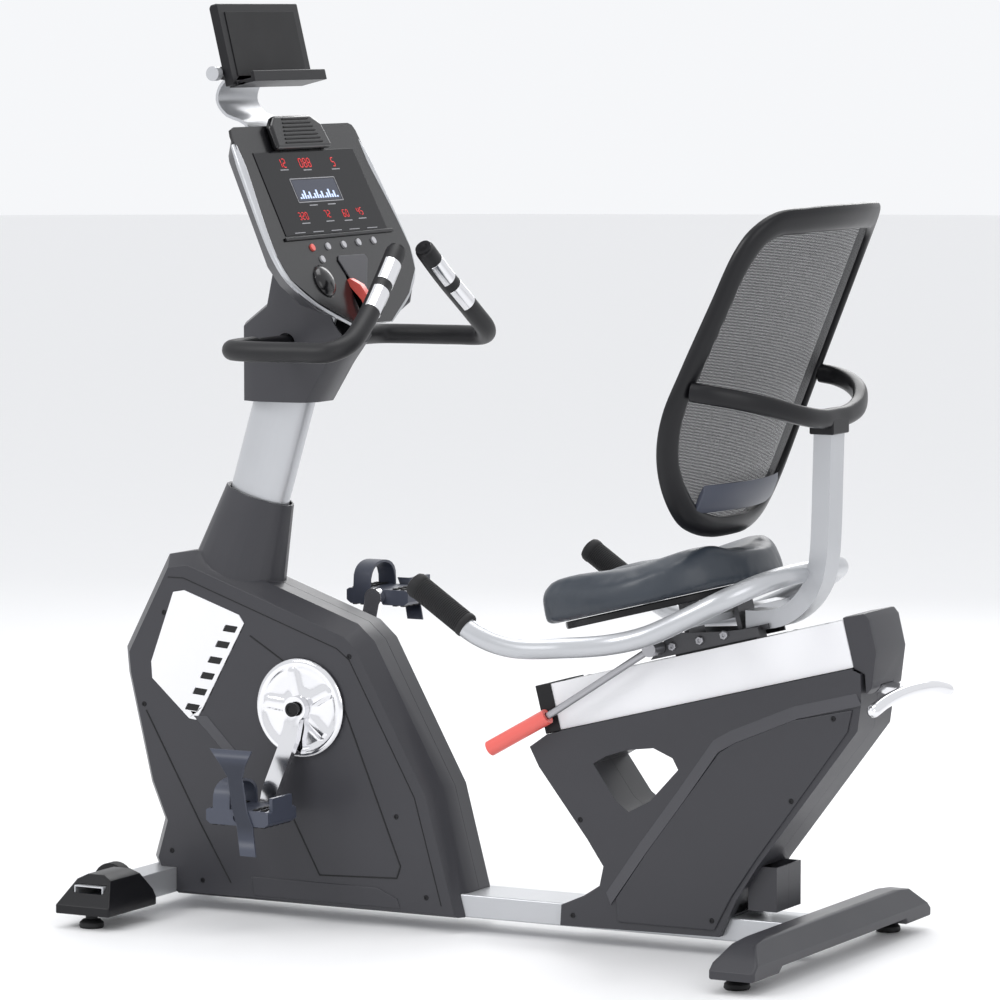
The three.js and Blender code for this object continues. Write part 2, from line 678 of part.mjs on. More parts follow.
// An arch in Y and Z that stands on height z.
function arch(y0, y1, z, height) {
  const middle = (y0 + y1) / 2;
  const reach = (y1 - y0) / 2;
  const points = [[y0, z], [y1, z]];
  const steps = 12;
  for (let i = 0; i <= steps; i += 1) {
    const angle = (Math.PI * i) / steps;
    const rise = Math.sin(angle) ** 0.6 * (height - 18);
    points.push([middle + reach * Math.cos(angle), z + 18 + rise]);
  }
  return points;
}

add('crank_axle', crankAxle(), 'steel');
add('drive_pulley', drivePulley(), 'black');
for (const [name, side] of SIDES) {
  add(`${name}_cover_disc`, coverDisc(side), 'chrome');
  add(`${name}_crank_arm`, crankArm(side), 'chrome');
  add(`${name}_pedal`, pedal(side), 'slate');
}

// ---------------------------------------------------------------- main shroud

const SHROUD = [
  [21, 30], [-3, 84], [16, 148], [-12, 214], [-55, 396], [-58, 430],
  [19, 576], [57, 582], [356, 478], [381, 456], [508, 226], [563, 30],
].map(fromFront);

const SHROUD_RIM = { size: SHROUD_SHOULDER, depth: SHROUD_SHOULDER_DEPTH };

const VENTS = [
  [29, 536], [51, 540], [157, 504], [167, 490], [87, 344], [73, 322],
  [59, 324], [-13, 388], [-15, 416],
].map(fromFront);

const VENT_DEPTH = 3;

// The tapered sleeve that the neck comes out of.
function collar(grow) {
  const z0 = 566;
  const length = COLLAR_HEIGHT / Math.cos(NECK_LEAN) + 24;
  const aspect = 1.42;
  const geometry = new THREE.CylinderGeometry(44 + grow, 62 + grow, length, 24);
  geometry.rotateX(Math.PI / 2);
  geometry.scale(aspect, 1, 1);
  geometry.rotateY(NECK_LEAN);
  const middle = z0 + (length * Math.cos(NECK_LEAN)) / 2 - 16;
  geometry.translate(neckX(middle), 0, middle);
  return solidFrom(geometry);
}

const SHROUD_CLEAR_X = FRONT_X + 779;   // well behind the shroud

function shroudWhole() {
  const y = SHROUD_HALF;
  const floor = box(FRONT_X - 221, SHROUD_CLEAR_X, -100, 100, -100, BEAM_BOTTOM);
  const outer = join(cut(sidePlate(SHROUD, -y, y, SHROUD_RIM), floor), collar(0));
  const inner = sidePlate(SHROUD, -y + SHROUD_WALL, y - SHROUD_WALL, SHROUD_RIM, SHROUD_WALL);
  const panels = SIDES.map(([, side]) => {
    const y0 = Math.min(side * (y - VENT_DEPTH), side * (y + 1));
    return sidePlate(VENTS, y0, y0 + VENT_DEPTH + 1);
  });
  const backing = SIDES.map(([, side]) => {
    const y0 = Math.min(side * (y - 2 * VENT_DEPTH), side * (y - 1));
    return sidePlate(VENTS, y0, y0 + 2 * VENT_DEPTH - 1, { size: 3, depth: 0.01 });
  });
  let shell = join(cut(outer, inner, collar(-SHROUD_WALL)), ...backing.map((b) => b.intersect(outer)));
  shell = cut(shell, ...panels);
  const beam = box(STABILISER_X, SHROUD_CLEAR_X, -BEAM_WIDTH / 2 - GAP, BEAM_WIDTH / 2 + GAP,
    BEAM_BOTTOM - 20, BEAM_TOP + GAP);
  const tube = box(
    STABILISER_X - FRONT_TUBE_WIDTH / 2 - GAP, STABILISER_X + FRONT_TUBE_WIDTH / 2 + GAP,
    -200, 200, FRONT_TUBE_BOTTOM - 10, FRONT_TUBE_BOTTOM + FRONT_TUBE_HEIGHT + GAP);
  const axle = rodY(CRANK_X, CRANK_Z, AXLE_RADIUS + 3, -200, 200);
  const neck = neckColumn(NECK_FOOT_Z - 60, 800, NECK_HALF_LENGTH + RUN, NECK_HALF_WIDTH + RUN);
  const windows = ventSlots().map((slot) => sidePlate(slot, -y - 5, y + 5));
  return cut(shell, beam, tube, axle, neck, ...windows);
}

// Six slanted slots down the rear edge of the vent panel.
function ventSlots() {
  const slots = [];
  const count = 6;
  for (let i = 0; i < count; i += 1) {
    const t = i / (count - 1);
    const x = FRONT_X + 155 - 74 * t;
    const z = 484 - 136 * t;
    slots.push([[x, z], [x - 24, z + 2], [x - 30, z - 9], [x - 6, z - 11]]);
  }
  return slots;
}

function ventPanel(side) {
  const y0 = Math.min(side * (SHROUD_HALF - VENT_DEPTH + GAP), side * (SHROUD_HALF + 1));
  const y1 = y0 + VENT_DEPTH + 1 - GAP;
  const panel = sidePlate(VENTS, y0, y1, null, GAP);
  return cut(panel, ...ventSlots().map((slot) => sidePlate(slot, y0 - 1, y1 + 1)));
}

const shroud = shroudWhole();
for (const [name, side] of SIDES) {
  add(`${name}_shroud`, half(shroud, side), 'charcoal');
  add(`${name}_vent_panel`, ventPanel(side), 'white');
}

// ---------------------------------------------------------------- rail, on its slope

const slope = new THREE.Group();
slope.position.z = RAIL_Z;
slope.rotation.y = -RAIL_ANGLE;
everything.add(slope);

// A point on the slope, along it and above it, as [x, z] of the whole bike.
function slopePoint(along, above) {
  return [
    along * Math.cos(RAIL_ANGLE) - above * Math.sin(RAIL_ANGLE),
    RAIL_Z + along * Math.sin(RAIL_ANGLE) + above * Math.cos(RAIL_ANGLE),
  ];
}

// The same solid, expressed in the slope's own frame.
function onSlope(solid) {
  const move = new THREE.Matrix4().makeRotationY(RAIL_ANGLE);
  move.multiply(new THREE.Matrix4().makeTranslation(0, 0, -RAIL_Z));
  const geometry = geometryFrom(solid);
  geometry.applyMatrix4(move);
  return solidFrom(geometry);
}

const RAIL_TOP = -RAIL_DROP;
const RAIL_LOW = RAIL_TOP - RAIL_HEIGHT;
const RAIL_TAIL = 20;               // how far the rail runs into its rear cap

function seatRail() {
  const outer = box(RAIL_FRONT + 4, RAIL_REAR + RAIL_TAIL, -RAIL_HALF, RAIL_HALF, RAIL_LOW, RAIL_TOP);
  const bore = box(RAIL_FRONT, RAIL_REAR + 40, -RAIL_HALF + 3, RAIL_HALF - 3, RAIL_LOW + 3, RAIL_TOP - 3);
  return cut(outer, bore);
}

// The white cover: two walls, a floor under the rail, and two lips that leave the slot open.
function railCover() {
  const h = RAIL_COVER_HALF;
  const w = RAIL_COVER_WALL;
  const low = -RAIL_COVER_HEIGHT;
  const section = [
    [-h, low], [h, low], [h, 0], [SLOT_HALF, 0], [SLOT_HALF, -w], [h - w, -w],
    [h - w, low + w], [-h + w, low + w], [-h + w, -w], [-SLOT_HALF, -w], [-SLOT_HALF, 0], [-h, 0],
  ];
  const cover = crossPlate(section, RAIL_FRONT + GAP, RAIL_REAR - GAP);
  const post = onSlope(rearPostOutline(GAP + 0.5));
  return cut(cover, post);
}

function railFrontCap() {
  const h = RAIL_COVER_HALF + 2;
  const low = -RAIL_COVER_HEIGHT - 2;
  const outer = box(RAIL_FRONT - 12, RAIL_FRONT + 16, -h, h, low, 2);
  const cover = box(RAIL_FRONT, RAIL_FRONT + 40, -RAIL_COVER_HALF - GAP, RAIL_COVER_HALF + GAP,
    low + 2 - GAP, GAP);
  return cut(outer, cover);
}

// The column inside the rear cover, from the floor beam up to the rail.
function rearPostOutline(grow) {
  const z0 = BEAM_TOP + GAP - grow;
  const [x0, top0] = slopePoint(-42, RAIL_LOW - GAP + grow);
  const [x1, top1] = slopePoint(58, RAIL_LOW - GAP + grow);
  return sidePlate([
    [-236 - grow, z0], [-136 + grow, z0], [x1 + grow, top1], [x0 - grow, top0],
  ], -RAIL_HALF - grow, RAIL_HALF + grow);
}

function rearPost() {
  const wall = 5;
  const bore = rearPostOutline(-wall);
  const openFoot = box(-236 + 2 * wall, -136 - 2 * wall, -RAIL_HALF + wall, RAIL_HALF - wall,
    BEAM_TOP, BEAM_TOP + 4 * wall);
  return cut(rearPostOutline(0), bore, openFoot);
}

function railRearCap() {
  const low = -RAIL_COVER_HEIGHT;
  const points = [
    slopePoint(RAIL_REAR, 4), slopePoint(RAIL_REAR + 38, 3), [116, 556], [128, 506], [121, 448],
    [112, 438], slopePoint(RAIL_REAR + 16, low - 14), slopePoint(RAIL_REAR, low - 2),
  ];
  const h = RAIL_COVER_HALF + 1;
  const body = sidePlate(points, -h, h, { size: 1, depth: 10 });
  const bore = sidePlate([
    slopePoint(RAIL_REAR - 10, RAIL_TOP + GAP), slopePoint(RAIL_REAR + RAIL_TAIL + GAP, RAIL_TOP + GAP),
    slopePoint(RAIL_REAR + RAIL_TAIL + GAP, RAIL_LOW - GAP), slopePoint(RAIL_REAR - 10, RAIL_LOW - GAP),
  ], -RAIL_HALF - GAP, RAIL_HALF + GAP);
  const front = sidePlate([
    slopePoint(RAIL_REAR - 60, 60), slopePoint(RAIL_REAR, 60),
    slopePoint(RAIL_REAR, -160), slopePoint(RAIL_REAR - 60, -160),
  ], -100, 100);
  return cut(body, bore, front, liftHandleSolid(GAP));
}

const LIFT_X = 163;
const LIFT_Z = 436;
const LIFT_RADIUS = 10.5;
const LIFT_HALF = 152;

function liftHandleSolid(grow) {
  const bar = bentRod([
    [LIFT_X, -LIFT_HALF, LIFT_Z - 12], [LIFT_X, -LIFT_HALF + 60, LIFT_Z],
    [LIFT_X, 0, LIFT_Z + 5], [LIFT_X, LIFT_HALF - 60, LIFT_Z], [LIFT_X, LIFT_HALF, LIFT_Z - 12],
  ], LIFT_RADIUS + grow, 18);
  const tongue = sidePlate([
    [LIFT_X + 4, LIFT_Z + 9], [LIFT_X, LIFT_Z - 5], [LIFT_X - 66, LIFT_Z + 2], [LIFT_X - 60, LIFT_Z + 18],
  ], -24 - grow, 24 + grow);
  return join(bar, tongue);
}

add('rear_post', rearPost(), 'steel');
add('seat_rail', seatRail(), 'steel', slope);
add('rail_cover', railCover(), 'white', slope);
add('rail_front_cap', railFrontCap(), 'black', slope);
add('rail_rear_cap', railRearCap(), 'charcoal');
add('lift_handle', liftHandleSolid(0), 'chrome');

// ---------------------------------------------------------------- rear cover

const COVER_TOP = -RAIL_COVER_HEIGHT - 1;

function coverOutline() {
  return [
    slopePoint(RAIL_FRONT - 4, COVER_TOP), [-479, 318], [-462, 286], [-374, 174], [-345, 132],
    [-352, 100], [-380, 82], [-421, BEAM_TOP], [-423, 30], [-138, 34], [-108, 96], [-72, 152],
    [100, 380], [106, 424], slopePoint(RAIL_REAR + 14, COVER_TOP),
  ];
}

const WINDOW = [
  [-364, 298], [-340, 312], [-304, 324], [-256, 330], [-222, 316], [-212, 298],
  [-262, 244], [-300, 224], [-322, 240],
];

const COVER_RIM = { size: 0, depth: 10 };

function coverWhole() {
  const y = COVER_HALF;
  const points = coverOutline();
  const outer = sidePlate(points, -y, y, COVER_RIM);
  const inner = sidePlate(points, -y + COVER_WALL, y - COVER_WALL, COVER_RIM, COVER_WALL);
  const sleeve = sidePlate(WINDOW, -y, y, { size: COVER_WALL, depth: 0.01 });
  const boss = box(-96, -46, -46, 46, REAR_BAR_TOP + GAP, 150);
  const bossBore = box(-96 - 60, -49, -43, 43, REAR_BAR_TOP - 9, 150);
  const shell = cut(join(cut(outer, inner), boss, sleeve), bossBore);
  const beam = box(-500, 0, -BEAM_WIDTH / 2 - GAP, BEAM_WIDTH / 2 + GAP, 0, BEAM_TOP + GAP);
  const bar = box(REAR_BAR_X - REAR_BAR_FOOT_WIDTH / 2 - GAP, REAR_BAR_X + 60,
    -120, 120, 0, REAR_BAR_TOP + GAP);
  const capFront = onWhole(box(RAIL_FRONT - 12 - GAP, RAIL_FRONT + 16 + GAP, -100, 100,
    -RAIL_COVER_HEIGHT - 2 - GAP, 10));
  const low = -RAIL_COVER_HEIGHT;
  const cap = sidePlate([
    slopePoint(RAIL_REAR - GAP, 40), slopePoint(RAIL_REAR - GAP, low - 3.5),
    slopePoint(RAIL_REAR + 16, low - 15.5), [112, 436.4], [240, 436], [240, 600],
  ], -100, 100);
  return cut(shell, sidePlate(WINDOW, -y - 1, y + 1), beam, bar, capFront, cap,
    rearPostOutline(GAP + 0.2), liftHandleSolid(GAP));
}

// A solid in the slope's frame, expressed in the frame of the whole bike.
function onWhole(solid) {
  const move = new THREE.Matrix4().makeTranslation(0, 0, RAIL_Z);
  move.multiply(new THREE.Matrix4().makeRotationY(-RAIL_ANGLE));
  const geometry = geometryFrom(solid);
  geometry.applyMatrix4(move);
  return solidFrom(geometry);
}

const cover = coverWhole();
for (const [name, side] of SIDES) add(`${name}_rear_cover`, half(cover, side), 'charcoal');

// ---------------------------------------------------------------- seat carriage and pan

function carriageFrame() {
  const [u0, u1] = [CARRIAGE_FRONT, CARRIAGE_REAR];
  const deck = box(u0 + 48, u1, -CARRIAGE_HALF, CARRIAGE_HALF, 12, 18);
  const neck = box(u0 + 30, u1 - 20, -SLOT_HALF + 3, SLOT_HALF - 3, RAIL_TOP + RUN, 14);
  const slider = box(u0 + 30, u1 - 20, -RAIL_HALF - 4, RAIL_HALF + 4,
    RAIL_TOP + RUN, -RAIL_COVER_WALL - RUN);
  const cheek = [[u0, 3], [u1, 3], [u1, 18], [u1 - 60, 22], [u0 + 60, 36], [u0 + 40, 36]];
  const cheeks = SIDES.map(([, side]) => {
    const y0 = Math.min(side * CARRIAGE_HALF, side * (CARRIAGE_HALF - 4));
    return sidePlate(cheek, y0, y0 + 4);
  });
  const rearWall = box(u1 - 44, u1 - 36, -30, 30, 14, PAN_HEIGHT - GAP);
  const frontWall = box(u0 + 60, u0 + 68, -30, 30, 14, PAN_HEIGHT - GAP);
  const clampFloor = box(u1 - 38, u1 + 10, -34, 34, 12, 20);
  return cut(join(deck, neck, slider, ...cheeks, rearWall, frontWall, clampFloor),
    onSlope(backPostSolid(GAP)),
    rodY(LEVER_ALONG, LEVER_ABOVE, LEVER_PIN_RADIUS + RUN / 2, -80, 0, 16));
}

// A D in plan, flat at the front with round corners, on a flat base.
function cushionOutline(shrink) {
  const nose = CUSHION_NOSE_HALF - shrink;
  const wide = CUSHION_HALF - shrink;
  const front = CUSHION_FRONT + shrink;
  const rear = CUSHION_REAR - shrink;
  const shoulder = front + 190;
  const points = [];
  const steps = 14;
  for (let i = 0; i <= steps; i += 1) {
    const angle = -Math.PI / 2 + (Math.PI * i) / steps;
    const reach = rear - shoulder;
    points.push([shoulder + reach * Math.cos(angle) ** 0.8, wide * Math.sin(angle)]);
  }
  points.push([front + 74, nose + 42], [front + 18, nose + 12], [front, nose - 16]);
  points.push([front, -nose + 16], [front + 18, -nose - 12], [front + 74, -nose - 42]);
  return points;
}

function cushionSolid() {
  const z0 = PAN_HEIGHT + PAN_THICKNESS + GAP;
  return floorPlate(cushionOutline(0), z0, z0 + CUSHION_THICKNESS);
}

function seatPan() {
  return floorPlate(cushionOutline(26), PAN_HEIGHT, PAN_HEIGHT + PAN_THICKNESS);
}

// One half of the seat handle, from the grip at the front to the middle of the rear cross.
const HANDLE_PATH = [
  [-556, -HANDLE_SPREAD, 602], [-502, -HANDLE_SPREAD, 563], [-442, -HANDLE_SPREAD + 1, 525],
  [-396, -284, 508], [-330, -238, 506], [-262, -212, 512], [-200, -207, 528], [-126, -206, 562],
  [-72, -196, 590], [-34, -158, 611], [-20, -100, 619], [-19, 0, 620],
];

// The flat bar that ties the handle's two sides to the carriage.
const CROSS_X = -146;
const CROSS_Z = 548;
const CROSS_HALF = 200;

function seatHandle() {
  const rod = bentRod(mirrored(HANDLE_PATH), HANDLE_RADIUS, 44, 12);
  const cross = box(CROSS_X - 12, CROSS_X + 12, -CROSS_HALF, CROSS_HALF, CROSS_Z - 7, CROSS_Z + 7);
  return join(rod, cross);
}

function gripAxis(side) {
  const start = new THREE.Vector3(...HANDLE_PATH[0]);
  const end = new THREE.Vector3(...HANDLE_PATH[2]);
  const direction = end.clone().sub(start).normalize();
  start.y *= -side;
  const from = start.clone().addScaledVector(direction, -8);
  const to = start.clone().addScaledVector(direction, GRIP_LENGTH);
  return [from, to];
}

function seatGrip(side) {
  const [from, to] = gripAxis(side);
  return rodBetween(from.toArray(), to.toArray(), GRIP_RADIUS, 20);
}

// The post's centre line in X and Z, from the carriage up to the yoke.
const POST_LINE = [
  [-112, 541], [-84, 542], [-48, 550], [-18, 571], [4, 604], [13, 644], [16, 690], [18, 770], [20, 852],
];

function stripOutline(line, thickness, steps) {
  const points = line.map(([x, z]) => new THREE.Vector3(x, 0, z));
  const curve = new THREE.CatmullRomCurve3(points, false, 'centripetal');
  const inner = [];
  const outer = [];
  for (let i = 0; i <= steps; i += 1) {
    const p = curve.getPoint(i / steps);
    const t = curve.getTangent(i / steps);
    const n = [-t.z, t.x];
    inner.push([p.x + (n[0] * thickness) / 2, p.z + (n[1] * thickness) / 2]);
    outer.push([p.x - (n[0] * thickness) / 2, p.z - (n[1] * thickness) / 2]);
  }
  return [...inner, ...outer.reverse()];
}

function backPostSolid(grow) {
  const w = POST_WIDTH / 2 + grow;
  return sidePlate(stripOutline(POST_LINE, POST_THICKNESS + 2 * grow, 26), -w, w);
}

const seatHandleSolid = seatHandle();
const backPost = backPostSolid(0);
add('carriage_frame', carriageFrame(), 'steel', slope);
add('seat_pan', seatPan(), 'black', slope);
add('seat_cushion', cushionSolid(), 'cushion', slope);
add('back_post', backPost, 'silver');
add('seat_handle', cut(seatHandleSolid,
  backPostSolid(GAP),
  ...SIDES.map(([, side]) => {
    const [from, to] = gripAxis(side);
    return rodBetween(from.toArray(), to.toArray(), HANDLE_RADIUS + 4, 20);
  })), 'silver');
for (const [name, side] of SIDES) add(`${name}_seat_grip`, seatGrip(side), 'rubber');

// ---------------------------------------------------------------- backrest

// The backrest lies on a leaning sheet that is bent round a vertical axis.
function backPoint(y, z, out) {
  const edge = BACK_X + BACK_LEAN * (z - BACK_Z);
  const bend = BACK_SWEEP * (1 - (y / BACK_HALF_WAIST) ** 2);
  return [edge + bend + out, y, z];
}

// The outer edge of the backrest: half width at a height.
const BACK_EDGE = [
  [0, BACK_BOTTOM], [76, BACK_BOTTOM + 4], [142, BACK_BOTTOM + 26], [200, BACK_BOTTOM + 78],
  [240, BACK_BOTTOM + 144], [BACK_HALF_WAIST, BACK_BOTTOM + 208], [BACK_HALF_WAIST - 3, BACK_BOTTOM + 280],
  [BACK_HALF_WAIST - 13, BACK_BOTTOM + 390], [BACK_HALF_WAIST - 20, BACK_BOTTOM + 464],
  [BACK_HALF_WAIST - 34, BACK_TOP - 34], [BACK_HALF_WAIST - 66, BACK_TOP - 9],
  [120, BACK_TOP - 2], [0, BACK_TOP],
];

function backEdge(shrink) {
  const right = new THREE.CatmullRomCurve3(
    BACK_EDGE.map(([y, z]) => new THREE.Vector3(y, z, 0)), false, 'centripetal').getPoints(22);
  const loop = [...right, ...right.slice(1, -1).reverse().map((p) => new THREE.Vector3(-p.x, p.y, 0))];
  return loop.map((p, i) => {
    const before = loop[(i + loop.length - 1) % loop.length];
    const after = loop[(i + 1) % loop.length];
    const along = after.clone().sub(before).normalize();
    return [p.x - along.y * shrink, p.y + along.x * shrink];
  });
}

// A closed band or sheet that follows the backrest's bend, between two outlines.
function bentSheet(outer, inner, back, front) {
  const shape = outline(outer);
  if (inner) shape.holes.push(new THREE.Path(inner.map(([x, y]) => new THREE.Vector2(x, y))));
  const geometry = new THREE.ExtrudeGeometry(shape, { depth: 1, bevelEnabled: false });
  const place = geometry.attributes.position;
  for (let i = 0; i < place.count; i += 1) {
    const out = place.getZ(i) > 0.5 ? front : back;
    const [x, y, z] = backPoint(place.getX(i), place.getY(i), out);
    place.setXYZ(i, x, y, z);
  }
  return solidFrom(geometry);
}

const BACK_BAND = 26;               // width of the frame's band

function backrestFrame(grow) {
  const deep = BACK_THICKNESS / 2 + grow;
  return bentSheet(backEdge(-grow), backEdge(BACK_BAND + grow), -deep, deep);
}

function backrestMesh() {
  return bentSheet(backEdge(BACK_BAND + GAP), null, -MESH_THICKNESS / 2, MESH_THICKNESS / 2);
}

// Half of the yoke's path, from a side of the backrest to the head of the post.
const YOKE_RADIUS = 15;
const YOKE_PATH = [
  [-105, -BACK_HALF_WAIST + 14, 918], [-76, -BACK_HALF_WAIST + 18, 914], [-40, -214, 906],
  [-4, -170, 893], [20, -110, 877], [28, -50, 868], [28, 0, 867],
];

function yoke() {
  const rod = bentRod(mirrored(YOKE_PATH), YOKE_RADIUS, 28, 12);
  const top = POST_LINE[POST_LINE.length - 1];
  const w = POST_WIDTH / 2 + 6;
  const cap = box(top[0] - 22, top[0] + 22, -w, w, top[1] - 12, top[1] + 16);
  return cut(join(rod, cap), backPostSolid(GAP), backrestFrame(GAP));
}

add('backrest_frame', backrestFrame(0), 'black');
add('backrest_mesh', backrestMesh(), 'mesh');
add('lumbar_yoke', yoke(), 'black');

// ---------------------------------------------------------------- seat lever

const LEVER_PIVOT = slopePoint(LEVER_ALONG, LEVER_ABOVE);
const LEVER_Y = -82;
const LEVER_BEND = [-436, 373];     // where the rod enters its grip
const LEVER_TIP = [-542, 313];

function leverRod() {
  const [x, z] = LEVER_PIVOT;
  const boss = rodY(x, z, 12, LEVER_Y - 7, -CARRIAGE_HALF - RUN, 20);
  const pin = rodY(x, z, LEVER_PIN_RADIUS, LEVER_Y, -CARRIAGE_HALF + 8, 16);
  const inner = [
    LEVER_BEND[0] + (LEVER_TIP[0] - LEVER_BEND[0]) * 0.5,
    LEVER_BEND[1] + (LEVER_TIP[1] - LEVER_BEND[1]) * 0.5,
  ];
  const rod = rodBetween([x, LEVER_Y, z], [LEVER_BEND[0], LEVER_Y, LEVER_BEND[1]], 6, 14);
  const stub = rodBetween([LEVER_BEND[0] + 2, LEVER_Y, LEVER_BEND[1] + 1.3],
    [inner[0], LEVER_Y, inner[1]], 5, 14);
  return join(boss, pin, rod, stub);
}

function leverGrip() {
  const grip = rodBetween([LEVER_BEND[0], LEVER_Y, LEVER_BEND[1]],
    [LEVER_TIP[0], LEVER_Y, LEVER_TIP[1]], 13, 18);
  const flat = rodBetween([LEVER_BEND[0] + 40, LEVER_Y, LEVER_BEND[1] + 26],
    [LEVER_BEND[0] - 1, LEVER_Y, LEVER_BEND[1] - 0.6], 20, 18);
  return cut(grip, flat, leverGripBore());
}

// The room that the rod's end needs inside the grip.
function leverGripBore() {
  const deep = 0.52;               // as a share of the grip's length
  return rodBetween([LEVER_BEND[0] + 20, LEVER_Y, LEVER_BEND[1] + 12.5], [
    LEVER_BEND[0] + (LEVER_TIP[0] - LEVER_BEND[0]) * deep, LEVER_Y,
    LEVER_BEND[1] + (LEVER_TIP[1] - LEVER_BEND[1]) * deep,
  ], 6 + GAP, 16);
}

add('lever_rod', leverRod(), 'silver');
add('lever_grip', leverGrip(), 'coral');

// ---------------------------------------------------------------- console

// An outline across the console and up its face, from depth out0 to out1 along its normal.
function consolePlate(points, out0, out1) {
  const geometry = new THREE.ExtrudeGeometry(outline(points), { depth: out1 - out0, bevelEnabled: false });
  geometry.translate(0, 0, out0);
  geometry.applyMatrix4(consolePlace());
  return solidFrom(geometry);
}

// From the console's own frame, across, up and out, to the frame of the whole bike.
function consolePlace() {
  const s = Math.sin(CONSOLE_LEAN);
  const c = Math.cos(CONSOLE_LEAN);
  const place = new THREE.Matrix4().makeBasis(
    new THREE.Vector3(0, 1, 0), new THREE.Vector3(-s, 0, c), new THREE.Vector3(c, 0, s));
  place.setPosition(CONSOLE_LOW_X, 0, CONSOLE_LOW_Z);
  return place;
}

function symmetric(rightHalf) {
  return [...rightHalf, ...[...rightHalf].reverse().map(([y, up]) => [-y, up])];
}

// The console's outline, shrunk by an even margin.
function consoleOutline(margin) {
  const top = CONSOLE_HEIGHT - margin;
  const narrow = CONSOLE_HALF_TOP - margin;
  const wide = CONSOLE_HALF_WIDEST - margin;
  const low = CONSOLE_HALF_LOW - 0.5 * margin;
  return symmetric([
    [low, margin], [low + 96, 46 + 0.4 * margin], [wide - 14, 88 + 0.2 * margin], [wide, 128],
    [narrow, top - 14], [narrow - 5, top - 4], [narrow - 16, top],
  ]);
}

const CONSOLE_WALL = 4;

// The housing's shape: full size behind the face, and narrower at its back.
function housingSolid(inset) {
  const front = -FACE_THICKNESS - GAP;
  const deep = CONSOLE_THICKNESS + front - inset;
  const geometry = new THREE.ExtrudeGeometry(outline(consoleOutline(CONSOLE_TAPER)), {
    depth: 2, bevelThickness: deep - 1, bevelSize: CONSOLE_TAPER, bevelOffset: -inset, bevelSegments: 1,
  });
  geometry.translate(0, 0, front - 1);
  geometry.applyMatrix4(consolePlace());
  return cut(solidFrom(geometry), consolePlate(consoleOutline(-60), front + inset, front + 100));
}

function consoleHousing() {
  return cut(housingSolid(0), housingSolid(CONSOLE_WALL));
}

// Places of the keys on the face: across, and up from its bottom edge.
const KEYS = [[-100, 140], [-49, 140], [4, 141], [55, 143], [107, 144], [-84, 118]];

function roundAt([y, up], radius, sides) {
  return circle(radius, sides).map(([a, b]) => [y + a, up + b]);
}

function consoleFace() {
  const face = consolePlate(consoleOutline(0), -FACE_THICKNESS, 0);
  const holes = KEYS.map((place) => consolePlate(
    roundAt(place, KEY_SIZE / 2 + 0.5, 12), -FACE_THICKNESS - 1, 1));
  const slot = consolePlate(STOP_SLOT, -FACE_THICKNESS - 1, 1);
  const [pinX, pinZ] = consolePoint(STOP_UP, STOP_PIN_OUT);
  const ears = [STOP_Y - 16, STOP_Y + 11].map((y) => consolePlate(
    [[y, STOP_UP - 8], [y + 5, STOP_UP - 8], [y + 5, STOP_UP + 8], [y, STOP_UP + 8]],
    STOP_PIN_OUT - 6, -FACE_THICKNESS + 1));
  const pinBore = rodY(pinX, pinZ, STOP_PIN_RADIUS + RUN / 2, STOP_Y - 20, STOP_Y + 20, 16);
  return cut(join(face, ...ears), ...holes, slot, pinBore);
}

function key(place) {
  const back = -FACE_THICKNESS + KEY_TRAVEL + 0.4;
  return consolePlate(roundAt(place, KEY_SIZE / 2, 12), back, 3);
}

// The red lever hangs from a pin behind the face and stands out through a slot.
const STOP_Y = -22;
const STOP_UP = 74;
const STOP_PIN_OUT = -11;
const STOP_PIN_RADIUS = 3;
const STOP_SLOT = [
  [STOP_Y - 9, STOP_UP - 66], [STOP_Y + 9, STOP_UP - 66], [STOP_Y + 9, STOP_UP + 12],
  [STOP_Y - 9, STOP_UP + 12],
];

function stopLever() {
  const [pinX, pinZ] = consolePoint(STOP_UP, STOP_PIN_OUT);
  const pin = rodY(pinX, pinZ, STOP_PIN_RADIUS, STOP_Y - 15, STOP_Y + 15, 16);
  const points = [
    consolePoint(STOP_UP + 5, -16), consolePoint(STOP_UP + 6, 4), consolePoint(STOP_UP - 12, 18),
    consolePoint(STOP_UP - 44, 24), consolePoint(STOP_UP - 62, 18), consolePoint(STOP_UP - 60, 10),
    consolePoint(STOP_UP - 34, 8), consolePoint(STOP_UP - 6, -2), consolePoint(STOP_UP - 6, -16),
  ];
  return join(sidePlate(points, STOP_Y - 7, STOP_Y + 7), pin);
}

add('console_housing', consoleHousing(), 'black');
add('console_face', consoleFace(), 'black');
KEYS.forEach((place, i) => add(`console_key_${i + 1}`, key(place), i === 0 ? 'coral' : 'steel'));
add('stop_lever', stopLever(), 'coral');

// ---------------------------------------------------------------- neck cover and handlebar

const NECK_COVER = [
  [235 - NECK_HALF_LENGTH, 858], [179 + NECK_HALF_LENGTH, 858], [199 + NECK_HALF_LENGTH, 872],
  [295, 940], [347, 1010], [315, 1190], [267, 1190], [247, 1118], [223, 1004],
  [235 - NECK_HALF_LENGTH, 972],
].map(fromFront);
const NECK_COVER_HALF = NECK_HALF_WIDTH + 22;
const NECK_COVER_RIM = { size: 34, depth: 34, steps: 2 };

function neckCover() {
  const y = NECK_COVER_HALF;
  const outer = sidePlate(NECK_COVER, -y, y, NECK_COVER_RIM);
  const inner = sidePlate(NECK_COVER, -y + 3, y - 3, NECK_COVER_RIM, 3);
  const below = box(FRONT_X - 21, FRONT_X + 479, -100, 100, 700, 860);
  const neck = neckColumn(800, 900, NECK_HALF_LENGTH + RUN, NECK_HALF_WIDTH + RUN);
  return cut(outer, inner, below, neck, aheadOfConsole(-CONSOLE_THICKNESS - GAP),
    rodY(BAR_X, BAR_Z, BAR_RADIUS + RUN, -100, 100));
}

